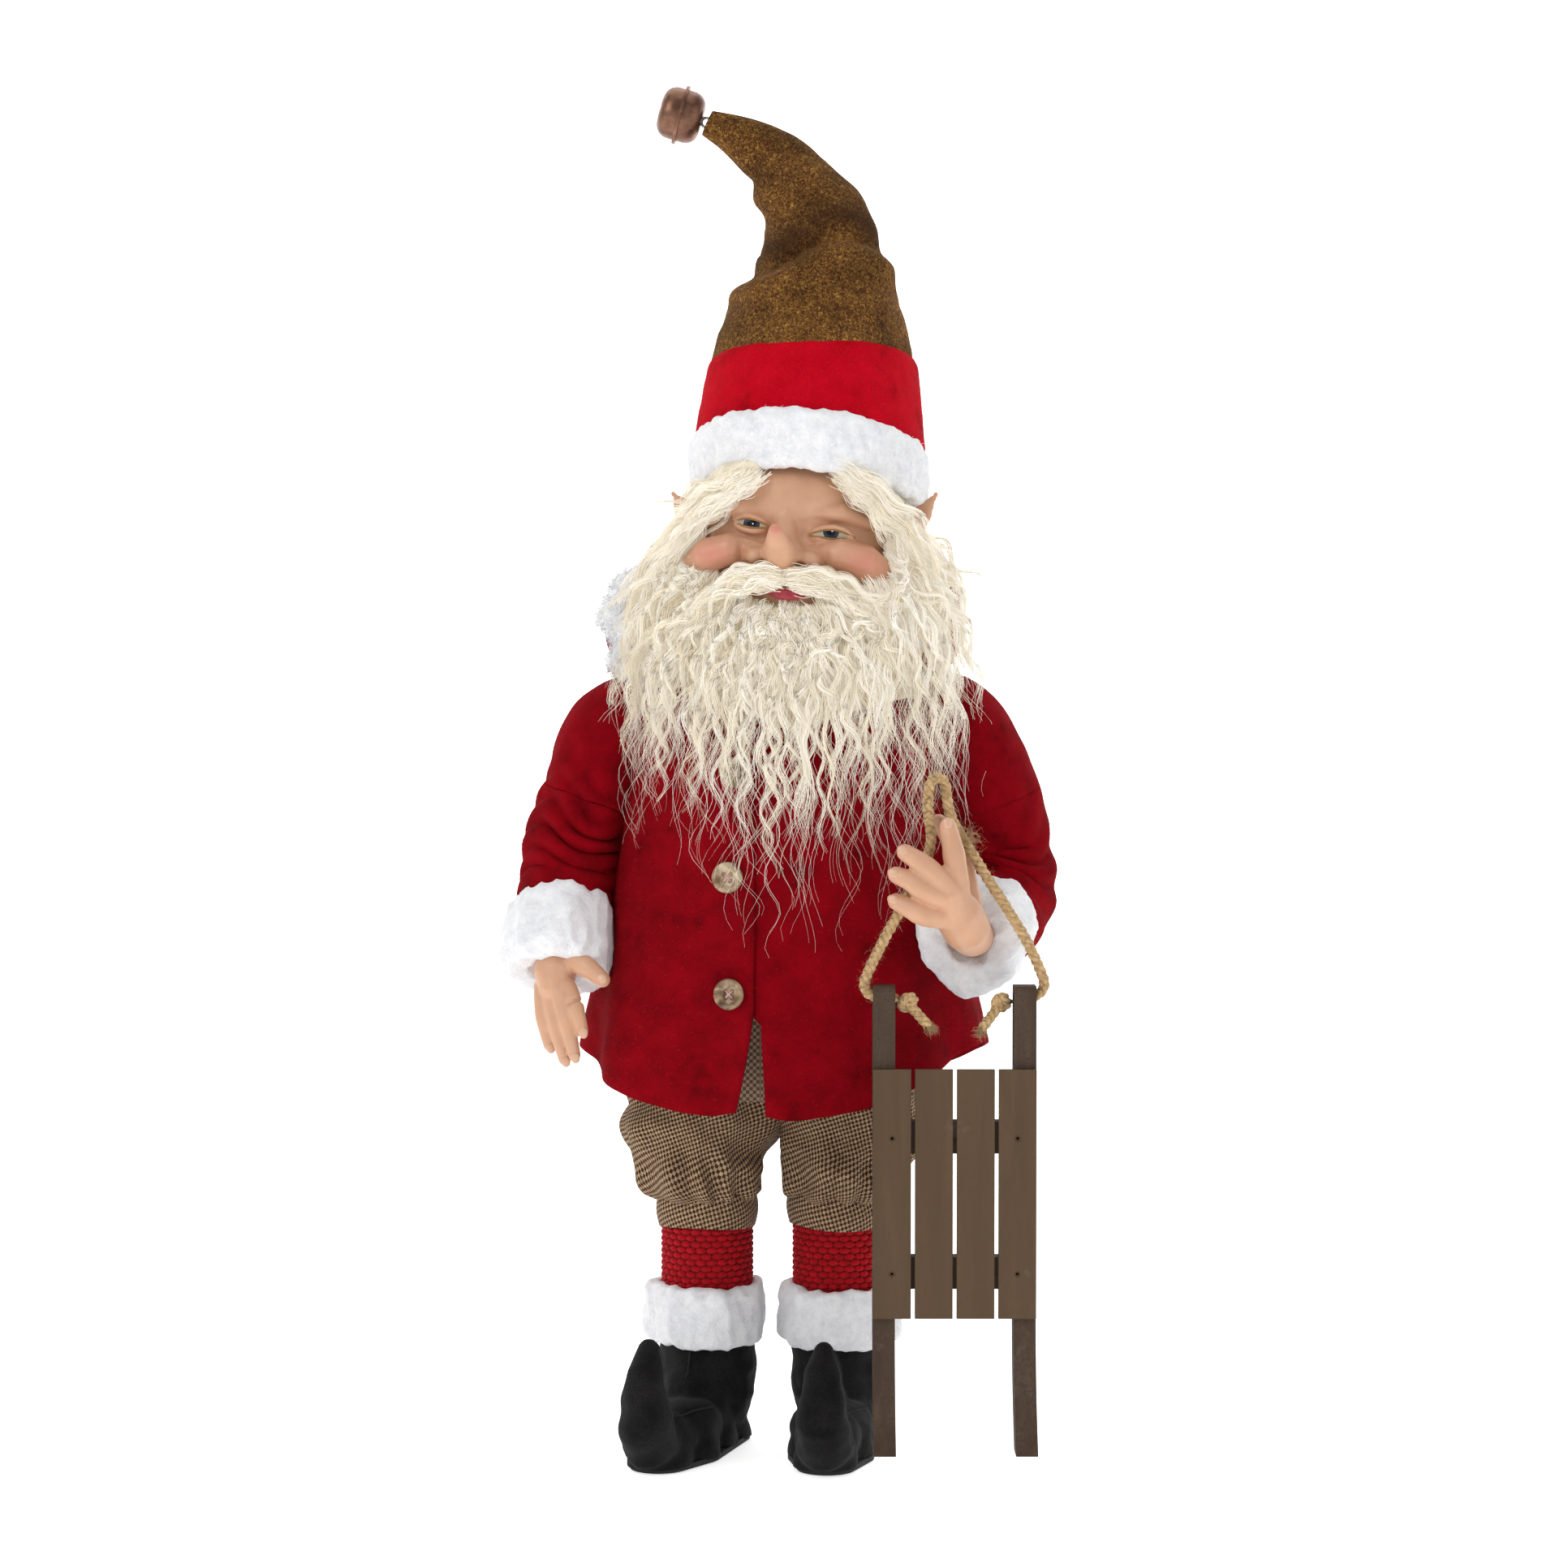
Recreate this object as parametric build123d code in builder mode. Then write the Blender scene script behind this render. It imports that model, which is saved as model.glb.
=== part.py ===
from build123d import *
from math import cos, radians, sin, sqrt, tan
import os

# Tomte gnome figurine, a posable doll that stands on its own boots and holds a
# small wooden sled by a jute tow rope. A resin head and resin hands, a wooden
# hip block with steel leg rods, a foam torso, wired arms and sewn clothes.
#
# Millimetres. +Z is up, -Y is the way the figure faces, +X is the figure's own
# left. The origin is on the floor under the middle of the whole figure. "Left"
# and "right" in names are the figure's own.

# ------------------------------------------------------------------ placing
fig_y = 19.0  # the figure stands this far behind the origin: the sled hangs in front


def at(x, y, z):
    """A point given from the figure's own centre line on the floor."""
    return Vector(x, fig_y + y, z)


BOTTOM = (Align.CENTER, Align.CENTER, Align.MIN)

# ------------------------------------------------------------------ legs and boots
leg_x = {"left": 27.0, "right": -38.0}  # where each leg stands
foot_yaw = {"left": -6.0, "right": -20.0}  # both toes turn a little to the figure's right
blouse_x = {"left": 34.0, "right": -44.0}  # the baggy trouser legs hang outwards

gap = 0.3  # between soft layers that lie on each other
sole_t = 2.5
heel_r, ball_r, toe_r = 19.0, 21.0, 14.0
heel_y, ball_y, toe_y = 6.0, -40.0, -64.0  # from the ankle, towards the toes is negative
foot_height = 24.0
curl_width = 20.0
curl_reach, curl_top = 88.0, 62.0  # how far forward and how high the curled toe goes
rod_r = 2.5
rod_foot_z = 8.0
block_r, block_top = 16.0, 30.0
pad_r = 19.0
sock_r = pad_r + 2.0  # a knit 2 mm thick
sock_low, sock_top = 34.0, 124.0
shaft_wall, shaft_top = 2.7, 56.0
shaft_r = sock_r + gap + shaft_wall
trim_pile, trim_h = 6.7, 24.0
trim_r, trim_top = sock_r + gap + trim_pile, shaft_top + trim_h
band_wall, band_low, band_top = 2.3, 109.0, 126.0
band_r = sock_r + gap + band_wall
blouse_r, blouse_z = 33.0, 150.0
thigh_r, thigh_top = 34.0, 174.0

# ------------------------------------------------------------------ hips and torso
hip_w, hip_d, hip_h = 100.0, 44.0, 25.0
hip_low = 190.0
seat_low, seat_top = thigh_top + gap, hip_low + hip_h
seat_a, seat_b, cloth_t = 77.0, 46.0, 3.0
neck_x = 3.0  # the dowel stands a little to the left of the centre line
dowel_r = 5.0
dowel_top = 425.0
yoke_l, yoke_d, yoke_h, yoke_z = 116.0, 16.0, 12.0, 352.0
torso_low = hip_low + hip_h + gap

# The coat's outer skin: height, half width, half depth, from the neck to the hem.
coat_t = 4.0
coat_rings = [
    (385.0, 50.0, 44.0),
    (372.0, 65.0, 53.0),
    (350.0, 68.0, 57.0),
    (300.0, 73.0, 60.0),
    (262.0, 79.0, 62.0),
    (222.0, 87.0, 66.0),
    (196.0, 95.0, 70.0),
    (164.0, 99.0, 73.0),
]
front_edge_x = -16.0  # where the two fronts meet
slit_w, slit_top = 6.0, 214.0
hem_side_z, hem_mid_z = 200.0, 168.0  # the hem is cut up at the sides
button_r, button_t, button_rim = 7.5, 2.8, 1.2
button_hole_r, button_hole_pitch = 0.9, 3.0
button_stand = 0.7  # the thread holds each button this far off the felt
button_places = [(-22.5, 334.0), (-26.5, 284.0), (-25.5, 229.0)]
hood_in, hood_out, hood_top = 62.0, 88.0, 408.0
hood_neck_r, hood_base_t, hood_wall = 44.0, 3.0, 5.0
hood_arc = 150.0

# ------------------------------------------------------------------ head
head_c = at(6.0, -6.0, 438.0)
head_r, head_h, head_t = 47.0, 56.0, 4.0
pour_r = 14.0  # the casting's open crown, under the hat
neck_r, neck_low, neck_h = 20.0, 386.0, 14.0
plug_r, plug_low, plug_top = 16.0, 388.0, 432.0
turn_clearance = 0.05
eye_r = 7.0
eye_places = [(-15.0, 450.0), (21.0, 448.0)]
nose_from = head_c + Vector(-4.0, 5.0 - head_r, -6.0)
nose_to = nose_from + Vector(-5.0, -32.0, 17.0)
ear_roots = {
    "left": head_c + Vector(head_r - 7.0, 9.0, -4.0),
    "right": head_c + Vector(7.0 - head_r, 9.0, -2.0),
}
ear_lines = {
    "left": (ear_roots["left"], ear_roots["left"] + Vector(30.0, 2.0, 23.0)),
    "right": (ear_roots["right"], ear_roots["right"] + Vector(-28.0, 2.0, 24.0)),
}
ear_r, ear_tip_r = 7.0, 1.5
wig_r, wig_h, wig_low = 61.0, 60.0, 393.0
wig_front_y = -20.0
beard_in, beard_out = 70.0, 86.0
beard_chin_in = 57.0
beard_low, beard_step, beard_top = 286.0, 394.0, 413.0
beard_arc = 92.0
beard_tip_w, beard_tip_x = 34.0, 8.0  # it narrows to this width at its lowest
lip_low, lip_top, lip_in, lip_out, lip_arc = 413.4, 424.0, 58.0, 70.0, 52.0

# ------------------------------------------------------------------ hat and bell
hat_c = at(10.0, -3.0, 472.0)
hat_lean = Vector(0.0875, 0.2126, 1.0)  # the hat leans back and a little to the left
fleece_r, fleece_in, fleece_low, fleece_h = 59.0, 52.5, -8.0, 24.0
band_low_r, band_top_r, band_h = 55.0, 48.0, 42.0
felt_t = 3.0
# The crown's bends: centre, the way the cone points there, and its radius.
crown_bends = [
    ((17.0, 0.0, 573.0), (0.0, 0.0, 1.0), 39.0),
    ((16.0, 0.0, 600.0), (-0.3, 0.0, 1.0), 27.0),
    ((4.0, 0.0, 626.0), (-0.75, 0.0, 0.7), 18.0),
    ((-16.0, 0.0, 641.0), (-0.9, 0.0, 0.4), 12.0),
    ((-36.0, 0.0, 649.5), (-0.96, 0.0, 0.28), 6.5),
]
hat_wire_r = 1.0
bell_c = at(-37.0, 0.0, 650.0)
bell_axis = Vector(-0.96, 0.0, 0.28)
bell_r, bell_half, bell_wall, bell_rim, bell_rim_t = 12.8, 10.5, 0.9, 14.6, 0.8
bell_back = 3.4  # from the hat's tip to the bell's back
bell_loop_r, bell_wire_r = 2.3, 0.7
bell_slot, pellet_r = 2.2, 3.0

# ------------------------------------------------------------------ arms
shoulder = {"left": at(86.0, 0.0, 350.0), "right": at(-86.0, 0.0, 350.0)}
elbow = {"left": at(107.0, 4.0, 268.0), "right": at(-103.0, -2.0, 296.0)}
wrist = {"left": at(91.0, -62.0, 258.0), "right": at(-109.0, -27.0, 253.0)}
sleeve_r = {"shoulder": 21.0, "elbow": 22.5, "wrist": 21.0}
armhole_x = 71.5  # the sleeves start outside this plane on each side
joint_gap = 0.3
elbow_bend = {"left": 20.0, "right": 30.0}  # how far each elbow can bend
left_elbow_cut = 20.0  # the left forearm turns under a plane this far above its axis
arm_wire_r = 1.6
cuff_r, cuff_len = 22.0, 34.0
cuff_mouth_r, cuff_mouth_d = 18.0, 12.0  # the fleece opens out round the hand
hand_stem_r = 8.0

# ------------------------------------------------------------------ sled and rope
sled_y = -98.0  # the middle of the runners, in front of the figure
sled_left, sled_right = 41.5, 117.6
runner_t, runner_d = 10.3, 16.0
runner_low, runner_top = 20.0, 236.0
slat_n, slat_t, slat_gap = 4, 3.0, 1.8
slat_low, slat_top = 81.0, 197.6
tail_bend_z, tail_reach = slat_low - 1.0, 20.0  # below here the runners curve forward
bar_places, bar_h, bar_d = (102.0, 165.5), 15.0, 9.0
nail_r, nail_head_r, nail_head_t = 0.7, 1.4, 0.5
rope_d = 4.5
rope_hole_r, rope_hole_z = 2.9, runner_top - 6.5
grip = at(74.0, sled_y, 309.0)  # the rope is held here, between thumb and finger
rope_end, rope_turn = 1.0, 7.1  # how far it stands out of each hole, inside and outside
knot_r, knot_off = 5.0, 3.6

os.makedirs("parts", exist_ok=True)
written = []


def save(part, name):
    """Labels a finished piece and writes its STEP file."""
    part.label = name
    export_step(part, f"parts/{name}.step")
    written.append(name)


# ================================================================== boots and legs
def foot_plane(side, z=0.0):
    """The floor plane under one ankle, turned with the foot: toes are at local -Y."""
    yaw = radians(foot_yaw[side])
    return Plane(origin=at(leg_x[side], 0, z), x_dir=(cos(yaw), sin(yaw), 0), z_dir=(0, 0, 1))


def sole_outline(inset=0.0):
    """The outline of a foot as a hull round heel, ball and toes. Call inside a sketch."""
    with Locations((0, heel_y)):
        Circle(heel_r - inset)
    with Locations((0, ball_y)):
        Circle(ball_r - inset)
    with Locations((0, toe_y)):
        Circle(toe_r - inset)
    make_hull()


for side in ("left", "right"):
    # A flat sole board, what the figure stands on.
    with BuildPart() as sole:
        with BuildSketch(foot_plane(side)):
            sole_outline()
        extrude(amount=sole_t)
    save(sole.part, f"sole_{side}")

    # The suede boot: foot, shaft and the curled toe, bored out for the leg.
    with BuildPart() as boot:
        with BuildSketch(foot_plane(side, sole_t)):
            sole_outline(inset=1.0)
        extrude(amount=foot_height - sole_t)
        fillet(boot.faces().sort_by(Axis.Z)[-1].edges(), 7.0)
        with Locations(foot_plane(side, sole_t)):
            Cylinder(shaft_r, shaft_top - sole_t, align=BOTTOM)
        side_plane = foot_plane(side)
        with BuildSketch(Plane(origin=side_plane.origin, x_dir=-side_plane.y_dir, z_dir=-side_plane.x_dir)):
            with BuildLine():
                Polyline((50, 22), (50, 4), (74, 4))
                ThreePointArc((74, 4), (84, 10), (curl_reach, 24))
                Line((curl_reach, 24), (curl_reach - 3, curl_top - 5))
                ThreePointArc(
                    (curl_reach - 3, curl_top - 5),
                    (curl_reach - 7, curl_top),
                    (curl_reach - 11, curl_top - 5),
                )
                Line((curl_reach - 11, curl_top - 5), (72, 30))
                Line((72, 30), (50, 22))
            make_face()
        extrude(amount=curl_width / 2, both=True)
        with Locations(foot_plane(side, sole_t)):
            Cylinder(block_r, block_top - sole_t, align=BOTTOM, mode=Mode.SUBTRACT)
        with Locations(foot_plane(side, block_top)):
            Cylinder(sock_r + gap, shaft_top, align=BOTTOM, mode=Mode.SUBTRACT)
    save(boot.part, f"boot_{side}")

    # The fleece ring round the top of the boot.
    with BuildPart() as boot_trim:
        with Locations(at(leg_x[side], 0, shaft_top)):
            Cylinder(trim_r, trim_top - shaft_top, align=BOTTOM)
            Cylinder(sock_r + gap, trim_top, align=BOTTOM, mode=Mode.SUBTRACT)
        fillet(boot_trim.edges().filter_by(GeomType.CIRCLE).group_by(SortBy.RADIUS)[-1], 2.5)
    save(boot_trim.part, f"boot_trim_{side}")

    # The knitted sock, over the foam leg.
    with BuildPart() as sock:
        with Locations(at(leg_x[side], 0, sock_low)):
            Cylinder(sock_r, sock_top - sock_low, align=BOTTOM)
            Cylinder(pad_r, sock_top, align=BOTTOM, mode=Mode.SUBTRACT)
    save(sock.part, f"sock_{side}")

    # A baggy trouser leg, from the knee band to the seat, round the foam leg.
    with BuildPart() as trouser_leg:
        for z, x, r in (
            (band_top, leg_x[side], band_r),
            (blouse_z, blouse_x[side], blouse_r),
            (thigh_top, blouse_x[side], thigh_r),
        ):
            with BuildSketch(Plane(origin=at(x, 0, z))):
                Circle(r)
        loft(ruled=True)
        with Locations(at(leg_x[side], 0, band_top)):
            Cylinder(pad_r + gap, hip_low, align=BOTTOM, mode=Mode.SUBTRACT)
    save(trouser_leg.part, f"trouser_leg_{side}")

legs = [at(x, 0, 0) for x in leg_x.values()]

# A wooden block in each boot, bored for the leg rod.
with BuildPart() as foot_blocks:
    with Locations([leg + Vector(0, 0, sole_t) for leg in legs]):
        Cylinder(block_r, block_top - sole_t, align=BOTTOM)
    with Locations([leg + Vector(0, 0, rod_foot_z) for leg in legs]):
        Cylinder(rod_r, block_top, align=BOTTOM, mode=Mode.SUBTRACT)
save(foot_blocks.part, "foot_blocks")

# Steel rods from the foot blocks up into the hip block.
with BuildPart() as leg_rods:
    with Locations([leg + Vector(0, 0, rod_foot_z) for leg in legs]):
        Cylinder(rod_r, hip_low + hip_h - rod_foot_z, align=BOTTOM)
save(leg_rods.part, "leg_rods")

# Foam legs on the rods.
with BuildPart() as leg_pads:
    with Locations([leg + Vector(0, 0, block_top) for leg in legs]):
        Cylinder(pad_r, hip_low - block_top, align=BOTTOM)
        Cylinder(rod_r, hip_low, align=BOTTOM, mode=Mode.SUBTRACT)
save(leg_pads.part, "leg_pads")

# Sewn bands that close the trouser legs under the knee, over the socks.
with BuildPart() as trouser_bands:
    with Locations([leg + Vector(0, 0, band_low) for leg in legs]):
        Cylinder(band_r, band_top - band_low, align=BOTTOM)
        Cylinder(sock_r + gap, band_top, align=BOTTOM, mode=Mode.SUBTRACT)
save(trouser_bands.part, "trouser_bands")

# ================================================================== hips and torso
with BuildPart() as hip_block:
    with Locations(at(0, 0, hip_low)):
        Box(hip_w, hip_d, hip_h, align=BOTTOM)
    fillet(hip_block.edges().filter_by(Axis.Z), 8.0)
    with Locations([leg + Vector(0, 0, hip_low) for leg in legs]):
        Cylinder(rod_r, hip_h, align=BOTTOM, mode=Mode.SUBTRACT)
    with Locations(at(neck_x, 0, hip_low)):
        Cylinder(dowel_r, hip_h, align=BOTTOM, mode=Mode.SUBTRACT)
save(hip_block.part, "hip_block")

with BuildPart() as trouser_seat:
    with BuildSketch(Plane(origin=at(-2, 0, seat_low))):
        Ellipse(seat_a, seat_b)
        Ellipse(seat_a - cloth_t, seat_b - cloth_t, mode=Mode.SUBTRACT)
    extrude(amount=seat_top - seat_low)
save(trouser_seat.part, "trouser_seat")

with BuildPart() as spine_dowel:
    with Locations(at(neck_x, 0, hip_low)):
        Cylinder(dowel_r, dowel_top - hip_low, align=BOTTOM)
save(spine_dowel.part, "spine_dowel")

# A wooden bar through the chest that carries the arm wires.
with BuildPart() as shoulder_yoke:
    with Locations(at(0, 0, yoke_z)):
        Box(yoke_l, yoke_d, yoke_h, align=BOTTOM)
    with Locations(at(neck_x, 0, yoke_z)):
        Cylinder(dowel_r, yoke_h, align=BOTTOM, mode=Mode.SUBTRACT)
save(shoulder_yoke.part, "shoulder_yoke")


def coat_width(z, inset):
    """Half width and half depth of the coat at a height, less an inset."""
    for (z1, a1, b1), (z0, a0, b0) in zip(coat_rings, coat_rings[1:]):
        if z0 <= z <= z1:
            share = (z - z0) / (z1 - z0)
            return a0 + share * (a1 - a0) - inset, b0 + share * (b1 - b0) - inset
    raise ValueError("height outside the coat")


def coat_loft(inset, low, high):
    """The coat's shape, less an inset, between two heights. Call inside a part."""
    heights = [high] + [z for z, _, _ in coat_rings if low < z < high] + [low]
    rings = []
    for z in heights:
        with BuildSketch(Plane(origin=at(0, 0, z))) as ring:
            Ellipse(*coat_width(z, inset))
        rings.append(ring.sketch)
    loft(rings, ruled=True)


with BuildPart() as torso_form:
    coat_loft(coat_t + 1.0, torso_low, coat_rings[0][0] - 2.0)
    with Locations(at(neck_x, 0, torso_low)):
        Cylinder(dowel_r, dowel_top, align=BOTTOM, mode=Mode.SUBTRACT)
    with Locations(at(0, 0, yoke_z)):
        Box(yoke_l, yoke_d, yoke_h, align=BOTTOM, mode=Mode.SUBTRACT)
save(torso_form.part, "torso_form")

# ================================================================== coat
coat_top, coat_low = coat_rings[0][0], coat_rings[-1][0]
coat_half = coat_rings[-1][1] + 10.0

with BuildPart() as coat:
    coat_loft(0.0, coat_low, coat_top)
    with BuildPart(mode=Mode.PRIVATE) as lining:
        coat_loft(coat_t, coat_low, coat_top)
    add(lining.part, mode=Mode.SUBTRACT)
    # The hem is a shallow arc, higher at the side seams.
    with BuildSketch(Plane(origin=at(0, 0, 0), x_dir=(1, 0, 0), z_dir=(0, -1, 0))):
        with BuildLine():
            ThreePointArc((-coat_half, hem_side_z), (0, hem_mid_z), (coat_half, hem_side_z))
            Polyline(
                (coat_half, hem_side_z), (coat_half, 0), (-coat_half, 0), (-coat_half, hem_side_z)
            )
        make_face()
    extrude(amount=coat_half, both=True, mode=Mode.SUBTRACT)
    # The fronts hang apart under the lowest button.
    with Locations(at(front_edge_x, -coat_half, 0)):
        Box(slit_w, 2 * coat_half, 2 * slit_top, mode=Mode.SUBTRACT)
    # A hairline between the fronts above it.
    with Locations(at(front_edge_x, -coat_half, slit_top)):
        Box(gap, 2 * coat_half, coat_top, align=BOTTOM, mode=Mode.SUBTRACT)

side_seams = Plane(origin=at(0, 0, 0), z_dir=(0, 1, 0))
with BuildPart() as coat_back:
    add(coat.part)
    split(bisect_by=side_seams, keep=Keep.TOP)
save(coat_back.part, "coat_back")

front_edge = Plane(origin=at(front_edge_x, 0, 0), z_dir=(1, 0, 0))
for side, keep in (("left", Keep.TOP), ("right", Keep.BOTTOM)):
    with BuildPart() as coat_front:
        add(coat.part)
        split(bisect_by=side_seams, keep=Keep.BOTTOM)
        split(bisect_by=front_edge, keep=keep)
    save(coat_front.part, f"coat_front_{side}")


def button_plane(x, z):
    """A plane on the coat's front at x and z, facing out."""
    a, b = coat_width(z, 0.0)
    y = -b * sqrt(1 - (x / a) ** 2)
    slope = (coat_width(z - button_r, 0.0)[1] - coat_width(z + button_r, 0.0)[1]) / (2 * button_r)
    out = (Vector(x / a**2, y / b**2, 0).normalized() + Vector(0, 0, slope)).normalized()
    return Plane(origin=at(x, y, z) + out * button_stand, z_dir=out)


# Four-hole buttons with a raised rim, sewn to the right front.
with BuildPart() as coat_buttons:
    for x, z in button_places:
        with Locations(button_plane(x, z)):
            Cylinder(button_r, button_t, align=BOTTOM)
            with Locations((0, 0, button_t)):
                Cylinder(button_r - button_rim, 0.9, align=(Align.CENTER, Align.CENTER, Align.MAX),
                         mode=Mode.SUBTRACT)
            with GridLocations(button_hole_pitch, button_hole_pitch, 2, 2):
                Cylinder(button_hole_r, 3 * button_t, mode=Mode.SUBTRACT)
save(coat_buttons.part, "coat_buttons")


def ring_sector(inner, outer, low, high, arc, middle):
    """A sector of a ring round the neck axis. middle is its centre line's angle from +X."""
    start = radians(middle - arc / 2)
    start_plane = Plane(origin=at(neck_x, 0, 0), x_dir=(cos(start), sin(start), 0),
                        z_dir=(sin(start), -cos(start), 0))
    with BuildSketch(start_plane) as profile:
        with Locations(((inner + outer) / 2, (low + high) / 2)):
            Rectangle(outer - inner, high - low)
    revolve(profile.sketch, axis=Axis(at(neck_x, 0, 0), (0, 0, 1)), revolution_arc=arc)


# The hood lies back on the shoulders, red felt outside and fleece inside.
hood_low = coat_rings[0][0] + gap
with BuildPart() as hood_shell:
    ring_sector(hood_neck_r, hood_out - 1.0, hood_low, hood_low + hood_base_t, hood_arc, 90)
    ring_sector(hood_out - hood_wall, hood_out, hood_low, hood_top, hood_arc, 90)
save(hood_shell.part, "hood_shell")

with BuildPart() as hood_lining:
    ring_sector(hood_in, hood_out - hood_wall - gap, hood_low + hood_base_t + gap, hood_top - 2,
                hood_arc, 90)
save(hood_lining.part, "hood_lining")


# ================================================================== head
def egg(width, height, wall=0.0):
    """A solid of revolution round the head's upright axis, hollow if it has a wall."""
    with BuildSketch(Plane(origin=head_c, x_dir=(1, 0, 0), z_dir=(0, -1, 0))) as profile:
        Ellipse(width, height)
        if wall:
            Ellipse(width - wall, height - wall, mode=Mode.SUBTRACT)
        with Locations((width, 0)):
            Rectangle(2 * width, 2 * height, mode=Mode.INTERSECT)
    revolve(profile.sketch, axis=Axis(head_c, (0, 0, 1)))


def spike(start, end, start_r, end_r, mode=Mode.ADD):
    """A tapered round bar between two points. Call inside a part."""
    with Locations(Plane(origin=start, z_dir=end - start)):
        if start_r == end_r:
            Cylinder(start_r, (end - start).length, align=BOTTOM, mode=mode)
        else:
            Cone(start_r, end_r, (end - start).length, align=BOTTOM, mode=mode)


# The hollow resin head, cast with its nose, ears and neck.
with BuildPart() as head_shell:
    egg(head_r, head_h, head_t)
    spike(nose_from, nose_to, 10.0, 4.0)
    for start, end in ear_lines.values():
        spike(start, end, ear_r, ear_tip_r)
    with Locations(at(neck_x, 0, neck_low)):
        Cylinder(neck_r, neck_h, align=BOTTOM)
    with Locations(head_c):
        Cylinder(pour_r, 2 * head_h, align=BOTTOM, mode=Mode.SUBTRACT)
    with Locations(at(neck_x, 0, neck_low - head_h)):
        Cylinder(plug_r, plug_top - neck_low + head_h, align=BOTTOM, mode=Mode.SUBTRACT)
    split(bisect_by=Plane(origin=at(0, 0, neck_low)), keep=Keep.TOP)
    for x, z in eye_places:
        depth = head_r * sqrt(1 - ((z - head_c.Z) / head_h) ** 2)
        eye_y = head_c.Y - sqrt(depth**2 - (x - head_c.X) ** 2) + eye_r - 1.5
        with Locations((x, eye_y, z)):
            Sphere(eye_r + turn_clearance, mode=Mode.SUBTRACT)
save(head_shell.part, "head_shell")

with BuildPart() as eyes:
    for x, z in eye_places:
        depth = head_r * sqrt(1 - ((z - head_c.Z) / head_h) ** 2)
        eye_y = head_c.Y - sqrt(depth**2 - (x - head_c.X) ** 2) + eye_r - 1.5
        with Locations((x, eye_y, z)):
            Sphere(eye_r)
save(eyes.part, "eyes")

# A wooden plug glued into the neck. It turns on the spine dowel.
with BuildPart() as neck_plug:
    with Locations(at(neck_x, 0, plug_low)):
        Cylinder(plug_r, plug_top - plug_low, align=BOTTOM)
        Cylinder(dowel_r + turn_clearance, dowel_top + 1 - plug_low, align=BOTTOM, mode=Mode.SUBTRACT)
save(neck_plug.part, "neck_plug")

hat_plane = Plane(origin=hat_c, z_dir=hat_lean)

# The wig covers the sides and back of the head under the hat.
with BuildPart() as wig:
    egg(wig_r, wig_h)
    with BuildPart(mode=Mode.PRIVATE) as scalp:
        egg(head_r + gap, head_h + gap)
        for start, end in ear_lines.values():
            way = (end - start).normalized()
            spike(start, end + way * 3, ear_r + 1, ear_tip_r + 1.5)
        with Locations(at(neck_x, 0, neck_low)):
            Cylinder(neck_r + gap, neck_h + gap, align=BOTTOM)
    add(scalp.part, mode=Mode.SUBTRACT)
    split(bisect_by=Plane(origin=at(0, wig_front_y, 0), z_dir=(0, 1, 0)), keep=Keep.TOP)
    split(bisect_by=Plane(origin=at(0, 0, wig_low)), keep=Keep.TOP)
    split(bisect_by=hat_plane.offset(fleece_low - gap), keep=Keep.BOTTOM)
save(wig.part, "wig")

# Two tufts of hair that come out of the hat over the temples.
with BuildPart() as forelocks:
    spike(at(-22, -55, 468), at(-36, -50, 455), 5.0, 3.0)
    spike(at(26, -55, 466), at(46, -46, 448), 5.0, 3.0)
save(forelocks.part, "forelocks")

# The long beard, from the chin down over the coat. It swings with the head.
with BuildPart() as beard:
    ring_sector(beard_in, beard_out, beard_low, beard_step, beard_arc, -90)
    ring_sector(beard_chin_in, beard_out, beard_step, beard_top, beard_arc, -90)
    with BuildSketch(Plane(origin=at(0, 0, 0), z_dir=(0, -1, 0), x_dir=(1, 0, 0))):
        with BuildLine():
            Polyline(
                (beard_tip_x - beard_tip_w / 2, beard_low),
                (beard_tip_x + beard_tip_w / 2, beard_low),
                (neck_x + beard_out, beard_step - 20),
                (neck_x + beard_out, beard_top),
                (neck_x - beard_out, beard_top),
                (neck_x - beard_out, beard_step - 20),
                close=True,
            )
        make_face()
    extrude(amount=2 * beard_out, mode=Mode.INTERSECT)
save(beard.part, "beard")

with BuildPart() as moustache:
    ring_sector(lip_in, lip_out, lip_low, lip_top, lip_arc, -90)
save(moustache.part, "moustache")

# ================================================================== hat
with BuildPart() as hat_trim:
    with Locations(hat_plane.offset(fleece_low)):
        Cylinder(fleece_r, fleece_h, align=BOTTOM)
        Cylinder(fleece_in, fleece_h, align=BOTTOM, mode=Mode.SUBTRACT)
    fillet(hat_trim.edges().filter_by(GeomType.CIRCLE).group_by(SortBy.RADIUS)[-1], 3.0)
save(hat_trim.part, "hat_trim")

band_base = fleece_low + fleece_h
with BuildPart() as hat_band:
    with Locations(hat_plane.offset(band_base)):
        Cone(band_low_r, band_top_r, band_h, align=BOTTOM)
        Cone(band_low_r - felt_t, band_top_r - felt_t, band_h, align=BOTTOM, mode=Mode.SUBTRACT)
save(hat_band.part, "hat_band")

crown_base = hat_plane.offset(band_base + band_h)


def crown_loft(inset):
    """The crown's bent cone, less an inset. Call inside a part."""
    with BuildSketch(crown_base) as base:
        Circle(band_top_r - inset)
    rings = [base.sketch]
    for place, way, r in crown_bends:
        with BuildSketch(Plane(origin=at(*place), x_dir=(way[2], 0, -way[0]), z_dir=way)) as ring:
            Circle(r - inset)
        rings.append(ring.sketch)
    loft(rings, ruled=True)


with BuildPart() as hat_crown:
    crown_loft(0.0)
    with BuildPart(mode=Mode.PRIVATE) as crown_hollow:
        crown_loft(felt_t)
    add(crown_hollow.part, mode=Mode.SUBTRACT)
save(hat_crown.part, "hat_crown")

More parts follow.
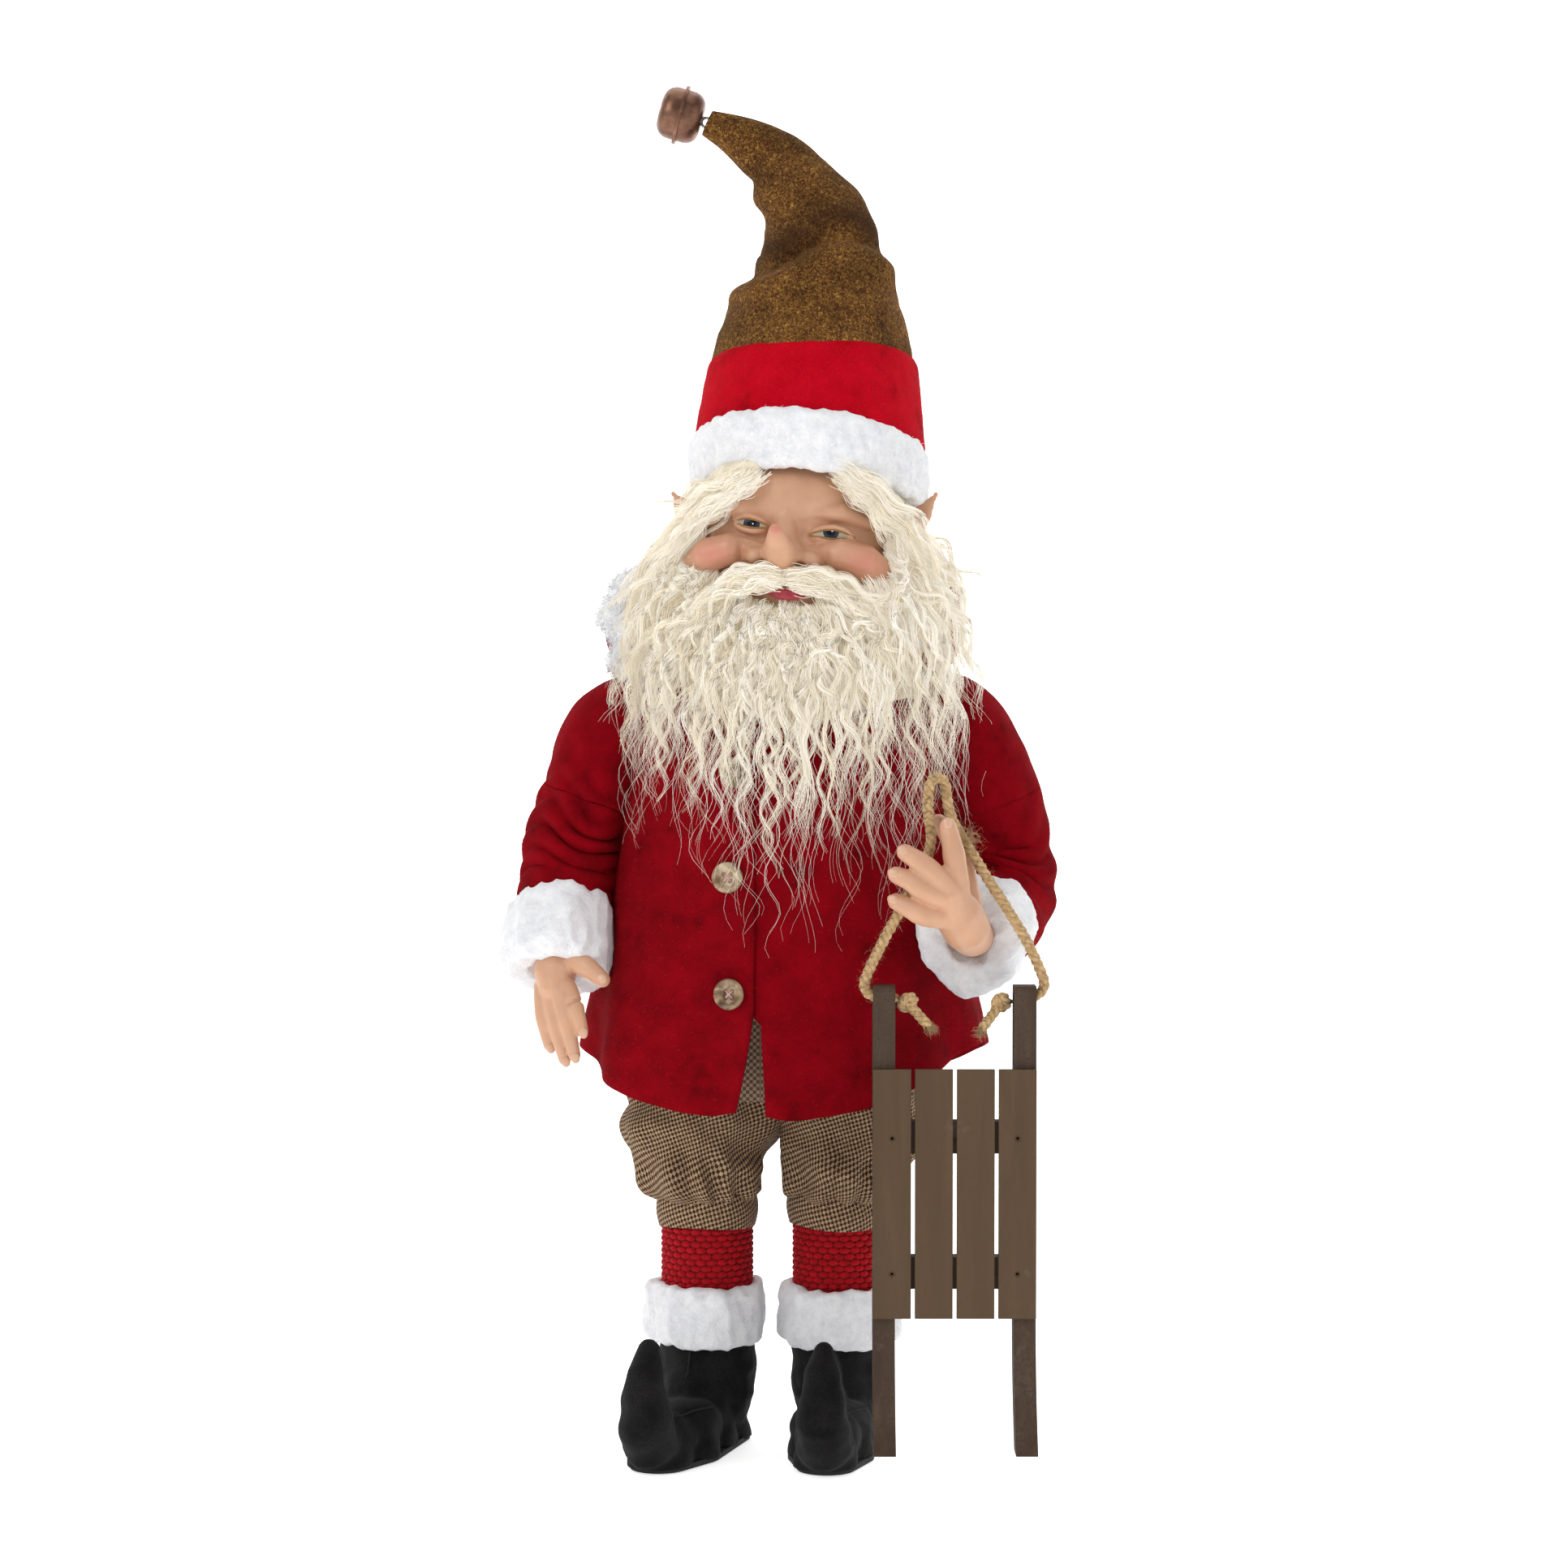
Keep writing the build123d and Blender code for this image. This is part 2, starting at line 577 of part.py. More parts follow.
# The wire that holds the tip of the hat in its bend.
wire_points = [at(*place) for place, _, _ in crown_bends]
wire_points[-1] = wire_points[-1] - (wire_points[-1] - wire_points[-2]).normalized() * 3.0
with BuildPart() as hat_wire:
    with BuildLine() as wire_line:
        FilletPolyline(wire_points, radius=8.0)
    with BuildSketch(Plane(origin=wire_line.line @ 0, z_dir=wire_line.line % 0)):
        Circle(hat_wire_r)
    sweep(path=wire_line.line)
save(hat_wire.part, "hat_wire")

# ================================================================== bell
bell_plane = Plane(origin=bell_c, x_dir=(0, 1, 0), z_dir=bell_axis)
rim_at = bell_back + bell_half  # where the halves meet, from the hat's tip


def dome(r, depth):
    """Half of the bell's side outline, from the rim at the origin to the pole. In a sketch."""
    with BuildLine() as outline:
        Line((0, 0), (r, 0))
        Line((r, 0), (r, depth * 0.35))
        ThreePointArc((r, depth * 0.35), (r * 0.86, depth * 0.8), (r * 0.5, depth))
        Line((r * 0.5, depth), (0, depth))
        Line((0, depth), (0, 0))
    make_face(outline.edges())


bell_mid = bell_plane.offset(rim_at)
for name, sign in (("bell_inner_half", -1), ("bell_outer_half", 1)):
    half_plane = Plane(origin=bell_mid.origin, x_dir=bell_mid.x_dir,
                       z_dir=bell_mid.x_dir.cross(bell_axis * sign))
    turn = Axis(bell_mid.origin, bell_axis)
    with BuildPart() as bell_half_part:
        with BuildSketch(half_plane):
            dome(bell_r, bell_half)
        revolve(axis=turn)
        with BuildSketch(half_plane):
            with Locations((bell_rim / 2, bell_rim_t / 2)):
                Rectangle(bell_rim, bell_rim_t)
        revolve(axis=turn)
        with BuildPart(mode=Mode.PRIVATE) as bell_hollow:
            with BuildSketch(half_plane):
                dome(bell_r - bell_wall, bell_half - bell_wall)
            revolve(axis=turn)
        add(bell_hollow.part, mode=Mode.SUBTRACT)
        if sign > 0:  # the cross-shaped slots that let the sound out
            for width, height in ((bell_slot, 1.3 * bell_r), (1.3 * bell_r, bell_slot)):
                with Locations(bell_mid.offset(bell_half)):
                    Box(width, height, bell_half, mode=Mode.SUBTRACT)
    save(bell_half_part.part, name)

with BuildPart() as bell_loop:
    loop_plane = Plane(origin=bell_c + bell_axis.normalized() * (bell_back - bell_loop_r),
                       x_dir=bell_axis, z_dir=(0, 1, 0))
    with Locations(loop_plane):
        Torus(bell_loop_r, bell_wire_r)
    split(bisect_by=bell_plane.offset(bell_back), keep=Keep.BOTTOM)
save(bell_loop.part, "bell_loop")

with BuildPart() as bell_pellet:
    with Locations(bell_mid.origin - Vector(0, 0, bell_r - bell_wall - pellet_r - 0.6)):
        Sphere(pellet_r)
save(bell_pellet.part, "bell_pellet")

# ================================================================== arms
for side, out in (("left", 1), ("right", -1)):
    s, e, w = shoulder[side], elbow[side], wrist[side]
    upper_way, lower_way = (e - s).normalized(), (w - e).normalized()
    armhole = Plane(origin=at(out * armhole_x, 0, 0), z_dir=(out, 0, 0))
    if side == "left":
        up = Vector(0, 0, 1)
        bent_up = up.rotate(Axis((0, 0, 0), (-1, 0, 0)), elbow_bend[side])
        upper_cut = [
            (Plane(origin=e + up * left_elbow_cut, z_dir=up), Keep.TOP),
            (Plane(origin=e + bent_up * left_elbow_cut, z_dir=bent_up), Keep.TOP),
        ]
        lower_cut = [(Plane(origin=e + up * (left_elbow_cut - joint_gap)), Keep.BOTTOM)]
    else:
        middle = (upper_way + lower_way).normalized()
        opened = middle.rotate(Axis((0, 0, 0), (1, 0, 0)), elbow_bend[side])
        upper_cut = [(Plane(origin=e, z_dir=middle), Keep.BOTTOM)]
        lower_cut = [
            (Plane(origin=e + middle * joint_gap, z_dir=middle), Keep.TOP),
            (Plane(origin=e + opened * joint_gap, z_dir=opened), Keep.TOP),
        ]

    with BuildPart() as sleeve_upper:
        spike(s, e + upper_way * 20, sleeve_r["shoulder"], sleeve_r["elbow"])
        with Locations(s):
            Sphere(sleeve_r["shoulder"])
        spike(s - upper_way * 2 * sleeve_r["shoulder"], e + upper_way * 20, arm_wire_r, arm_wire_r,
              Mode.SUBTRACT)
        split(bisect_by=armhole, keep=Keep.TOP)
        for plane, keep in upper_cut:
            split(bisect_by=plane, keep=keep)
    save(sleeve_upper.part, f"sleeve_upper_{side}")

    with BuildPart() as arm_wire_upper:
        spike(s - upper_way * 12, e + upper_way * 20, arm_wire_r, arm_wire_r)
        split(bisect_by=armhole, keep=Keep.TOP)
        for plane, keep in upper_cut:
            split(bisect_by=plane, keep=keep)
    save(arm_wire_upper.part, f"arm_wire_upper_{side}")

    cuff_start = w - lower_way * (cuff_len / 2)
    with BuildPart() as sleeve_lower:
        spike(e - lower_way * 20, cuff_start, sleeve_r["elbow"], sleeve_r["wrist"])
        if side == "left":
            with Locations(e):
                Sphere(sleeve_r["elbow"])
            split(bisect_by=Plane(origin=e - lower_way * 30, z_dir=lower_way), keep=Keep.TOP)
        spike(e - lower_way * 45, cuff_start, arm_wire_r, arm_wire_r, Mode.SUBTRACT)
        for plane, keep in lower_cut:
            split(bisect_by=plane, keep=keep)
    save(sleeve_lower.part, f"sleeve_lower_{side}")

    with BuildPart() as arm_wire_lower:
        spike(e, cuff_start, arm_wire_r, arm_wire_r)
        for plane, keep in lower_cut:
            split(bisect_by=plane, keep=keep)
    save(arm_wire_lower.part, f"arm_wire_lower_{side}")

    with BuildPart() as cuff:
        spike(cuff_start, cuff_start + lower_way * cuff_len, cuff_r, cuff_r)
        fillet(cuff.edges().filter_by(GeomType.CIRCLE), 5.0)
        spike(cuff_start, cuff_start + lower_way * 2 * cuff_len, hand_stem_r + gap,
              hand_stem_r + gap, Mode.SUBTRACT)
        spike(cuff_start + lower_way * (cuff_len - cuff_mouth_d), cuff_start + lower_way * cuff_len,
              hand_stem_r + gap, cuff_mouth_r, Mode.SUBTRACT)
    save(cuff.part, f"cuff_{side}")

    # Palm as two balls and a bar between them, then each finger as one tapered bar.
    if side == "left":
        palm_from, palm_to = at(86, -96, 262), at(78, -112, 280)
        fingers = [
            (at(82, -112, 286), at(76, -108, 311), 4.2, 3.8),  # first finger, up
            (at(77, -113, 284), at(56, -111, 299), 4.2, 3.8),
            (at(74, -113, 278), at(52, -110, 288), 4.2, 3.6),
            (at(74, -112, 271), at(52, -108, 276), 4.0, 3.4),
            (at(86, -100, 276), at(84, -91, 290), 4.5, 4.2),  # thumb, behind the rope
            (at(84, -91, 290), at(71, -89.5, 313), 4.2, 3.8),
        ]
    else:
        palm_from, palm_to = at(-110, -40, 240), at(-110, -46, 228)
        fingers = [
            (at(-108, -42, 240), at(-87, -54, 238), 4.5, 3.8),  # thumb
            (at(-106, -48, 228), at(-105, -58, 208), 4.2, 3.8),
            (at(-111, -46, 226), at(-109, -54, 199), 4.2, 3.8),
            (at(-115, -42, 226), at(-113, -48, 200), 4.2, 3.6),
            (at(-117, -37, 228), at(-116, -40, 205), 4.0, 3.4),
        ]
    palm_r = 9.0
    stem_from = cuff_start + lower_way * 2
    with BuildPart() as hand:
        spike(stem_from, cuff_start + lower_way * (cuff_len + 2), hand_stem_r, hand_stem_r)
        spike(cuff_start + lower_way * cuff_len, palm_from, hand_stem_r, palm_r - 1)
        with Locations(palm_from):
            Sphere(palm_r - 0.5)
        spike(palm_from, palm_to, palm_r - 0.5, palm_r)
        with Locations(palm_to):
            Sphere(palm_r)
        for start, end, start_r, end_r in fingers:
            with Locations(start):
                Sphere(start_r)
            spike(start, end, start_r, end_r)
            with Locations(end):
                Sphere(end_r)
    save(hand.part, f"hand_{side}")

# ================================================================== sled
for side, x in (("left", sled_right - runner_t), ("right", sled_left)):
    # A runner is a straight bar whose lower end curves forward, away from the figure.
    with BuildPart() as runner:
        with BuildSketch(Plane(origin=at(x, 0, 0), x_dir=(0, -1, 0), z_dir=(-1, 0, 0))):
            front, back = -sled_y + runner_d / 2, -sled_y - runner_d / 2
            mid_z = (tail_bend_z + runner_low) / 2
            with BuildLine():
                Polyline((back, tail_bend_z), (back, runner_top), (front, runner_top), (front, tail_bend_z))
                ThreePointArc((front, tail_bend_z), (front + tail_reach * 0.27, mid_z),
                              (front + tail_reach, runner_low))
                Line((front + tail_reach, runner_low), (back + tail_reach, runner_low))
                ThreePointArc((back + tail_reach, runner_low), (back + tail_reach * 0.27, mid_z),
                              (back, tail_bend_z))
            make_face()
        extrude(amount=-runner_t)
        fillet(runner.faces().sort_by(Axis.Z)[-1].edges().filter_by(Axis.X), 3.0)
        with Locations(Plane(origin=at(x, sled_y, rope_hole_z), z_dir=(1, 0, 0))):
            Cylinder(rope_hole_r, runner_t, align=BOTTOM, mode=Mode.SUBTRACT)
    save(runner.part, f"runner_{side}")

slat_w = (sled_right - sled_left - (slat_n - 1) * slat_gap) / slat_n
slat_xs = [sled_left + slat_w / 2 + i * (slat_w + slat_gap) for i in range(slat_n)]
slat_back = sled_y - runner_d / 2  # the slats lie on the runners' front
with BuildPart() as slats:
    for x in slat_xs:
        with Locations(at(x, slat_back - slat_t / 2, (slat_low + slat_top) / 2)):
            Box(slat_w, slat_t, slat_top - slat_low)
    fillet(slats.edges().filter_by(Axis.Z), 0.5)
    for x in slat_xs:
        for z in bar_places:
            with Locations(Plane(origin=at(x, slat_back, z), z_dir=(0, -1, 0))):
                Cylinder(nail_r, slat_t, align=BOTTOM, mode=Mode.SUBTRACT)
                with Locations((0, 0, slat_t)):
                    Cylinder(nail_head_r, 2 * nail_head_t, mode=Mode.SUBTRACT)
save(slats.part, "slats")

with BuildPart() as crossbars:
    for z in bar_places:
        with Locations(at((sled_left + sled_right) / 2, slat_back + bar_d / 2, z)):
            Box(sled_right - sled_left - 2 * runner_t, bar_d, bar_h)
    for x in slat_xs[1:-1]:
        for z in bar_places:
            with Locations(Plane(origin=at(x, slat_back, z), z_dir=(0, 1, 0))):
                Cylinder(nail_r, bar_d * 0.7, align=BOTTOM, mode=Mode.SUBTRACT)
save(crossbars.part, "crossbars")

# Brads through the two middle slats into the crossbars; the outer slats are glued.
with BuildPart() as slat_nails:
    for x in slat_xs[1:-1]:
        for z in bar_places:
            with Locations(Plane(origin=at(x, slat_back, z), z_dir=(0, -1, 0))):
                Cylinder(nail_r, slat_t, align=BOTTOM)
                Cylinder(nail_r, bar_d * 0.7 , align=(Align.CENTER, Align.CENTER, Align.MAX))
                with Locations((0, 0, slat_t - nail_head_t)):
                    Cylinder(nail_head_r, nail_head_t, align=BOTTOM)
save(slat_nails.part, "slat_nails")

# ================================================================== tow rope
# From the right runner's hole up through the hand, round a small bight above the
# fingers, and down to the left runner's hole.
rope_points = [
    at(sled_left + runner_t + rope_end, sled_y, rope_hole_z),
    at(sled_left - rope_turn, sled_y, rope_hole_z),
    at(sled_left + 0.5, sled_y, 249.0),
    at(57.0, sled_y, 276.0),
    at(69.8, sled_y, 300.0),
    at(67.0, sled_y - 2.5, 318.0),
    at(67.4, sled_y - 3.6, 333.0),
    at(75.4, sled_y + 3.0, 333.6),
    at(76.6, sled_y + 1.0, 316.0),
    at(84.5, sled_y, 303.0),
    at(95.0, sled_y, 286.0),
    at(107.5, sled_y, 267.0),
    at(sled_right - 0.1, sled_y, 249.5),
    at(sled_right + rope_turn, sled_y, rope_hole_z),
    at(sled_right - runner_t - rope_end, sled_y, rope_hole_z),
]


def bend_radii(points):
    """The largest arc that each corner's two runs allow."""
    radii = []
    for a, b, c in zip(points, points[1:], points[2:]):
        half_turn = radians((b - a).get_angle(c - b)) / 2
        radii.append(0.45 * min((b - a).length, (c - b).length) / tan(half_turn))
    return radii


radii = bend_radii(rope_points)
print("rope bend radii", [round(r, 1) for r in radii])
with BuildPart() as tow_rope:
    with BuildLine() as rope_line:
        FilletPolyline(rope_points, radius=radii)
    with BuildSketch(Plane(origin=rope_line.line @ 0, z_dir=rope_line.line % 0)):
        Circle(rope_d / 2)
    sweep(path=rope_line.line)
rope_length = sum(edge.length for edge in rope_line.edges())
print("rope length", round(rope_length, 1), "volume", round(tow_rope.part.volume),
      "expected", round(rope_length * 3.14159 * rope_d**2 / 4))
save(tow_rope.part, "tow_rope")

# The stopper knots and frayed ends on the inner side of each runner.
with BuildPart() as rope_knots:
    for end, way in ((rope_points[0], 1), (rope_points[-1], -1)):
        with Locations(end + Vector(way * knot_off, 0, 0)):
            Sphere(knot_r)
        with Locations(end - Vector(way * knot_r, 0, 0)):
            Box(2 * knot_r, 3 * knot_r, 3 * knot_r, mode=Mode.SUBTRACT)
    for end, way in ((rope_points[0], 1), (rope_points[-1], -1)):
        middle = end + Vector(way * knot_off, 0, 0)
        spike(middle, middle + Vector(way * 9.0, 0, -9.0), rope_d / 2 - 0.1, rope_d / 2 + 0.6)
save(rope_knots.part, "rope_knots")

print(len(written), "nodes")
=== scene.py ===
# %% [markdown]
# # A tomte with a sled
# A standing gnome doll: resin head and hands, mohair beard, felt coat and hat, tweed
# knickerbockers, knitted socks, suede boots, and a small painted sled on a jute rope. The packed
# CAD model is the frame. Every soft piece is built over it here, in the frame's own place.

# %% The frame
import math

import bpy
import numpy as np
from mathutils import Euler, Matrix, Vector, noise


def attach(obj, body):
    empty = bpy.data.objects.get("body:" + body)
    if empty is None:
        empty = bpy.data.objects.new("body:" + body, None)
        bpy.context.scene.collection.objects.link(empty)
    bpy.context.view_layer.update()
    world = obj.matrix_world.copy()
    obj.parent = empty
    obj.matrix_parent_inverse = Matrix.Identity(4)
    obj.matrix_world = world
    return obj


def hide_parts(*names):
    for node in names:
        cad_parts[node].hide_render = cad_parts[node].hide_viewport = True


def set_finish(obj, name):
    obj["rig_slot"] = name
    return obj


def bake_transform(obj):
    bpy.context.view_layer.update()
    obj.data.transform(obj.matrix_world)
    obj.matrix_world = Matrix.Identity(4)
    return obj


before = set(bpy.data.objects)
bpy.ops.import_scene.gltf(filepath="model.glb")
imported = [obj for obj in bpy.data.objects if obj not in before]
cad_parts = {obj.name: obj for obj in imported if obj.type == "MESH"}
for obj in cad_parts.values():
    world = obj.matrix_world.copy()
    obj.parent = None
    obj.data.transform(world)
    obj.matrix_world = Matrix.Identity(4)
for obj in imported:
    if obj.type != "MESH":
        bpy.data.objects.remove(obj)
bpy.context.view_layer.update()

# %% [markdown]
# Everything below is written in millimetres from the figure's own centre line, because that is
# how a doll maker measures. One function turns such points into the frame's metres.

# %% Places
FIGURE_Y = 19.0  # the figure stands this far behind the frame's origin


def to_row(points):
    """Millimetres from the figure's centre line, as the frame's metres."""
    return (np.asarray(points, float) + (0.0, FIGURE_Y, 0.0)) * 0.001


# %% [markdown]
# ## Camera and light
# A long lens from chest height, looking down a little. Four large soft panels and a pale world
# give the even light of a studio table. A floor and a wall that glow a little fade to white.

# %% Camera, lights and floor
SENSOR_WIDTH = 36.0
LENS_RATIO = 4500.0 / 1932.0  # focal length over sensor width
scene = bpy.context.scene
camera_data = bpy.data.cameras.new("camera")
camera_data.sensor_width = SENSOR_WIDTH
camera_data.lens = SENSOR_WIDTH * LENS_RATIO
camera_data.clip_start = 0.05
camera = bpy.data.objects.new("camera", camera_data)
camera.location = to_row((0.0, -1800.0, 400.0))
camera.rotation_euler = (math.radians(90.0 - 2.35), 0.0, 0.0)
scene.collection.objects.link(camera)
scene.camera = camera


def soft_panel(name, place, look_at, size, watts):
    """A square area light at place, in millimetres, that faces look_at."""
    data = bpy.data.lights.new(name, "AREA")
    data.shape, data.size, data.energy = "SQUARE", size, watts
    panel = bpy.data.objects.new(name, data)
    panel.location = to_row(place)
    way = Vector(to_row(look_at)) - panel.location
    panel.rotation_euler = way.to_track_quat("-Z", "Y").to_euler()
    scene.collection.objects.link(panel)


soft_panel("key_light", (-1300, -1500, 1500), (0, 0, 350), 1.0, 17)
soft_panel("fill_light", (1500, -1300, 900), (0, 0, 350), 1.4, 7)
soft_panel("top_light", (0, 100, 1900), (0, 0, 300), 1.4, 8)
soft_panel("back_light", (300, 1500, 1200), (0, 0, 450), 1.0, 3)
world = bpy.data.worlds.new("pale_room")
world.use_nodes = True
world.node_tree.nodes["Background"].inputs["Color"].default_value = (1.0, 1.0, 1.0, 1.0)
world.node_tree.nodes["Background"].inputs["Strength"].default_value = 0.42
scene.world = world
scene.view_settings.view_transform = "Standard"



def backdrop(name, corners, glow):
    """A plain white sheet that lights itself a little, so the set fades to white."""
    paint = bpy.data.materials.new(name + "_paint")
    paint.use_nodes = True
    shader = paint.node_tree.nodes["Principled BSDF"]
    shader.inputs["Base Color"].default_value = (0.9, 0.9, 0.9, 1.0)
    shader.inputs["Roughness"].default_value = 0.95
    shader.inputs["Emission Color"].default_value = (1.0, 1.0, 1.0, 1.0)
    shader.inputs["Emission Strength"].default_value = glow
    mesh = bpy.data.meshes.new(name)
    mesh.from_pydata(corners, [], [(0, 1, 2, 3)])
    mesh.materials.append(paint)
    sheet = bpy.data.objects.new(name, mesh)
    scene.collection.objects.link(sheet)


backdrop("floor", [(-8, -4, -0.0005), (8, -4, -0.0005), (8, 2.6, -0.0005), (-8, 2.6, -0.0005)], 0.62)
backdrop("wall", [(-8, 2.5, -0.1), (8, 2.5, -0.1), (8, 2.5, 6), (-8, 2.5, 6)], 1.0)

# %% [markdown]
# ## Helpers for finishes
# Each finish is a small node tree. These helpers keep the trees readable: one line per node.

# %% Node helpers
class Finish:
    """A material under construction: a Principled shader and the nodes that feed it."""

    def __init__(self, name, color=(0.5, 0.5, 0.5), roughness=0.6, **sockets):
        self.material = bpy.data.materials.new(name)
        self.material.use_nodes = True
        self.tree = self.material.node_tree
        self.shader = self.tree.nodes["Principled BSDF"]
        self.set("Base Color", (*color, 1.0))
        self.set("Roughness", roughness)
        for socket, value in sockets.items():
            self.set(socket.replace("_", " "), value)
        self.place = self.add("ShaderNodeTexCoord").outputs["Object"]

    def set(self, socket, value):
        self.shader.inputs[socket].default_value = value

    def add(self, kind, **values):
        node = self.tree.nodes.new(kind)
        for name, value in values.items():
            setattr(node, name, value)
        return node

    def link(self, out, into):
        self.tree.links.new(out, into)

    def stretched(self, scale, rotation=(0, 0, 0), source=None):
        node = self.add("ShaderNodeMapping")
        node.inputs["Scale"].default_value = scale
        node.inputs["Rotation"].default_value = rotation
        self.link(source or self.place, node.inputs["Vector"])
        return node.outputs["Vector"]

    def noise(self, scale, detail=3.0, rough=0.55, vector=None, distortion=0.0):
        node = self.add("ShaderNodeTexNoise")
        node.inputs["Scale"].default_value = scale
        node.inputs["Detail"].default_value = detail
        node.inputs["Roughness"].default_value = rough
        node.inputs["Distortion"].default_value = distortion
        self.link(vector or self.place, node.inputs["Vector"])
        return node.outputs["Fac"]

    def cells(self, scale, vector=None, feature="F1", output="Distance"):
        node = self.add("ShaderNodeTexVoronoi", feature=feature)
        node.inputs["Scale"].default_value = scale
        self.link(vector or self.place, node.inputs["Vector"])
        return node.outputs[output]

    def ramp(self, fac, *stops):
        node = self.add("ShaderNodeValToRGB")
        elements = node.color_ramp.elements
        while len(elements) < len(stops):
            elements.new(0.5)
        for element, (position, color) in zip(elements, stops):
            element.position = position
            element.color = (*color, 1.0) if len(color) == 3 else color
        self.link(fac, node.inputs["Fac"])
        return node.outputs["Color"]

    def grey(self, fac, low, high, dark=0.0, light=1.0):
        return self.ramp(fac, (low, (dark, dark, dark)), (high, (light, light, light)))

    def mix(self, fac, a, b, blend="MIX"):
        node = self.add("ShaderNodeMix", data_type="RGBA", blend_type=blend)
        for value, socket in ((fac, node.inputs[0]), (a, node.inputs[6]), (b, node.inputs[7])):
            if isinstance(value, (int, float)):
                socket.default_value = value
            elif isinstance(value, tuple):
                socket.default_value = (*value, 1.0)
            else:
                self.link(value, socket)
        return node.outputs[2]

    def math(self, operation, a, b=0.5):
        node = self.add("ShaderNodeMath", operation=operation)
        for value, socket in ((a, node.inputs[0]), (b, node.inputs[1])):
            if isinstance(value, (int, float)):
                socket.default_value = value
            else:
                self.link(value, socket)
        return node.outputs[0]

    def attribute(self, name, output="Fac"):
        return self.add("ShaderNodeAttribute", attribute_name=name).outputs[output]

    def color(self, out):
        self.link(out, self.shader.inputs["Base Color"])

    def roughness(self, out):
        self.link(out, self.shader.inputs["Roughness"])

    def bump(self, height, strength=0.5, distance=0.001, under=None):
        node = self.add("ShaderNodeBump")
        node.inputs["Strength"].default_value = strength
        node.inputs["Distance"].default_value = distance
        self.link(height, node.inputs["Height"])
        if under is not None:
            self.link(under, node.inputs["Normal"])
        self.link(node.outputs["Normal"], self.shader.inputs["Normal"])
        return node.outputs["Normal"]


# %% [markdown]
# ## Helpers for shapes
# A piece is a list of points and faces, given to one function that names it, smooths it and fixes
# it to the body it moves with. Cloth pieces are rings of points joined into a skin. Hair, pile and
# stray fibres are all thin tapered tubes, made many at a time.

# %% Mesh helpers
def new_piece(name, points, faces, material, body=None, slot=None, replaces=(), smooth=True):
    """A named mesh from points in figure millimetres."""
    mesh = bpy.data.meshes.new(name)
    mesh.from_pydata(to_row(points).tolist(), [], faces)
    mesh.update()
    if smooth:
        mesh.shade_smooth()
    piece = bpy.data.objects.new(name, mesh)
    scene.collection.objects.link(piece)
    mesh.materials.append(material)
    if slot:
        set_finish(piece, slot)
    if replaces:
        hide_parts(*replaces)
    if body:
        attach(piece, body)
    return piece


def grid_faces(rows, columns, closed):
    """The quads of a grid of rows by columns, closed round each row or not."""
    faces = []
    for i in range(rows - 1):
        for j in range(columns if closed else columns - 1):
            k = (j + 1) % columns
            faces.append((i * columns + j, i * columns + k, (i + 1) * columns + k, (i + 1) * columns + j))
    return faces


def points_of(piece):
    """A mesh's points in figure millimetres."""
    flat = np.empty(len(piece.data.vertices) * 3)
    piece.data.vertices.foreach_get("co", flat)
    return flat.reshape(-1, 3) * 1000.0 - (0.0, FIGURE_Y, 0.0)


def normals_of(piece):
    flat = np.empty(len(piece.data.vertices) * 3)
    piece.data.vertices.foreach_get("normal", flat)
    return flat.reshape(-1, 3)


def move_points(piece, points):
    """Puts a mesh's points at these figure millimetres."""
    piece.data.vertices.foreach_set("co", to_row(points).ravel())
    piece.data.update()


def apply_all(piece):
    """Applies every modifier of a piece to its mesh."""
    bpy.context.view_layer.update()
    graph = bpy.context.evaluated_depsgraph_get()
    mesh = bpy.data.meshes.new_from_object(piece.evaluated_get(graph), depsgraph=graph)
    piece.modifiers.clear()
    piece.data = mesh
    return piece


def subdivide(piece, levels=1):
    piece.modifiers.new("rounding", "SUBSURF").levels = levels
    return apply_all(piece)


def thicken(piece, thickness, offset=-1.0):
    modifier = piece.modifiers.new("thickness", "SOLIDIFY")
    modifier.thickness, modifier.offset = thickness * 0.001, offset
    return apply_all(piece)


def ripple(points, size, seed):
    """Smooth noise from -1 to 1 at each point. size is its wavelength in millimetres."""
    shift = Vector((seed * 7.31, seed * 3.17, seed * 5.77))
    return np.array([noise.noise(Vector(p) / size + shift) for p in points])


def clumps(points, size, seed):
    """0 at the middle of each clump and larger towards its edge."""
    shift = Vector((seed * 7.31, seed * 3.17, seed * 5.77))
    return np.array([noise.voronoi(Vector(p) / size + shift)[0][0] for p in points])


def smooth_line(points, count):
    """A smooth curve through a few points, as count points evenly along it."""
    points = np.asarray(points, float)
    ends = np.vstack([2 * points[0] - points[1], points, 2 * points[-1] - points[-2]])
    fine = []
    for i in range(1, len(ends) - 2):
        a, b, c, d = ends[i - 1 : i + 3]
        t = np.linspace(0, 1, 24, endpoint=False)[:, None]
        fine.append(0.5 * (2 * b + (c - a) * t + (2 * a - 5 * b + 4 * c - d) * t**2
                           + (3 * b - a - 3 * c + d) * t**3))
    fine.append(points[-1:])
    fine = np.vstack(fine)
    along = np.concatenate([[0], np.cumsum(np.linalg.norm(np.diff(fine, axis=0), axis=1))])
    even = np.linspace(0, along[-1], count)
    return np.stack([np.interp(even, along, fine[:, k]) for k in range(3)], axis=1)


def line_frames(line, up=(0.0, 0.0, 1.0)):
    """Two directions across a line at each of its points."""
    way = np.gradient(line, axis=0)
    way /= np.linalg.norm(way, axis=1)[:, None]
    side = np.cross(way, np.asarray(up, float))
    side /= np.maximum(np.linalg.norm(side, axis=1)[:, None], 1e-6)
    return way, side, np.cross(side, way)


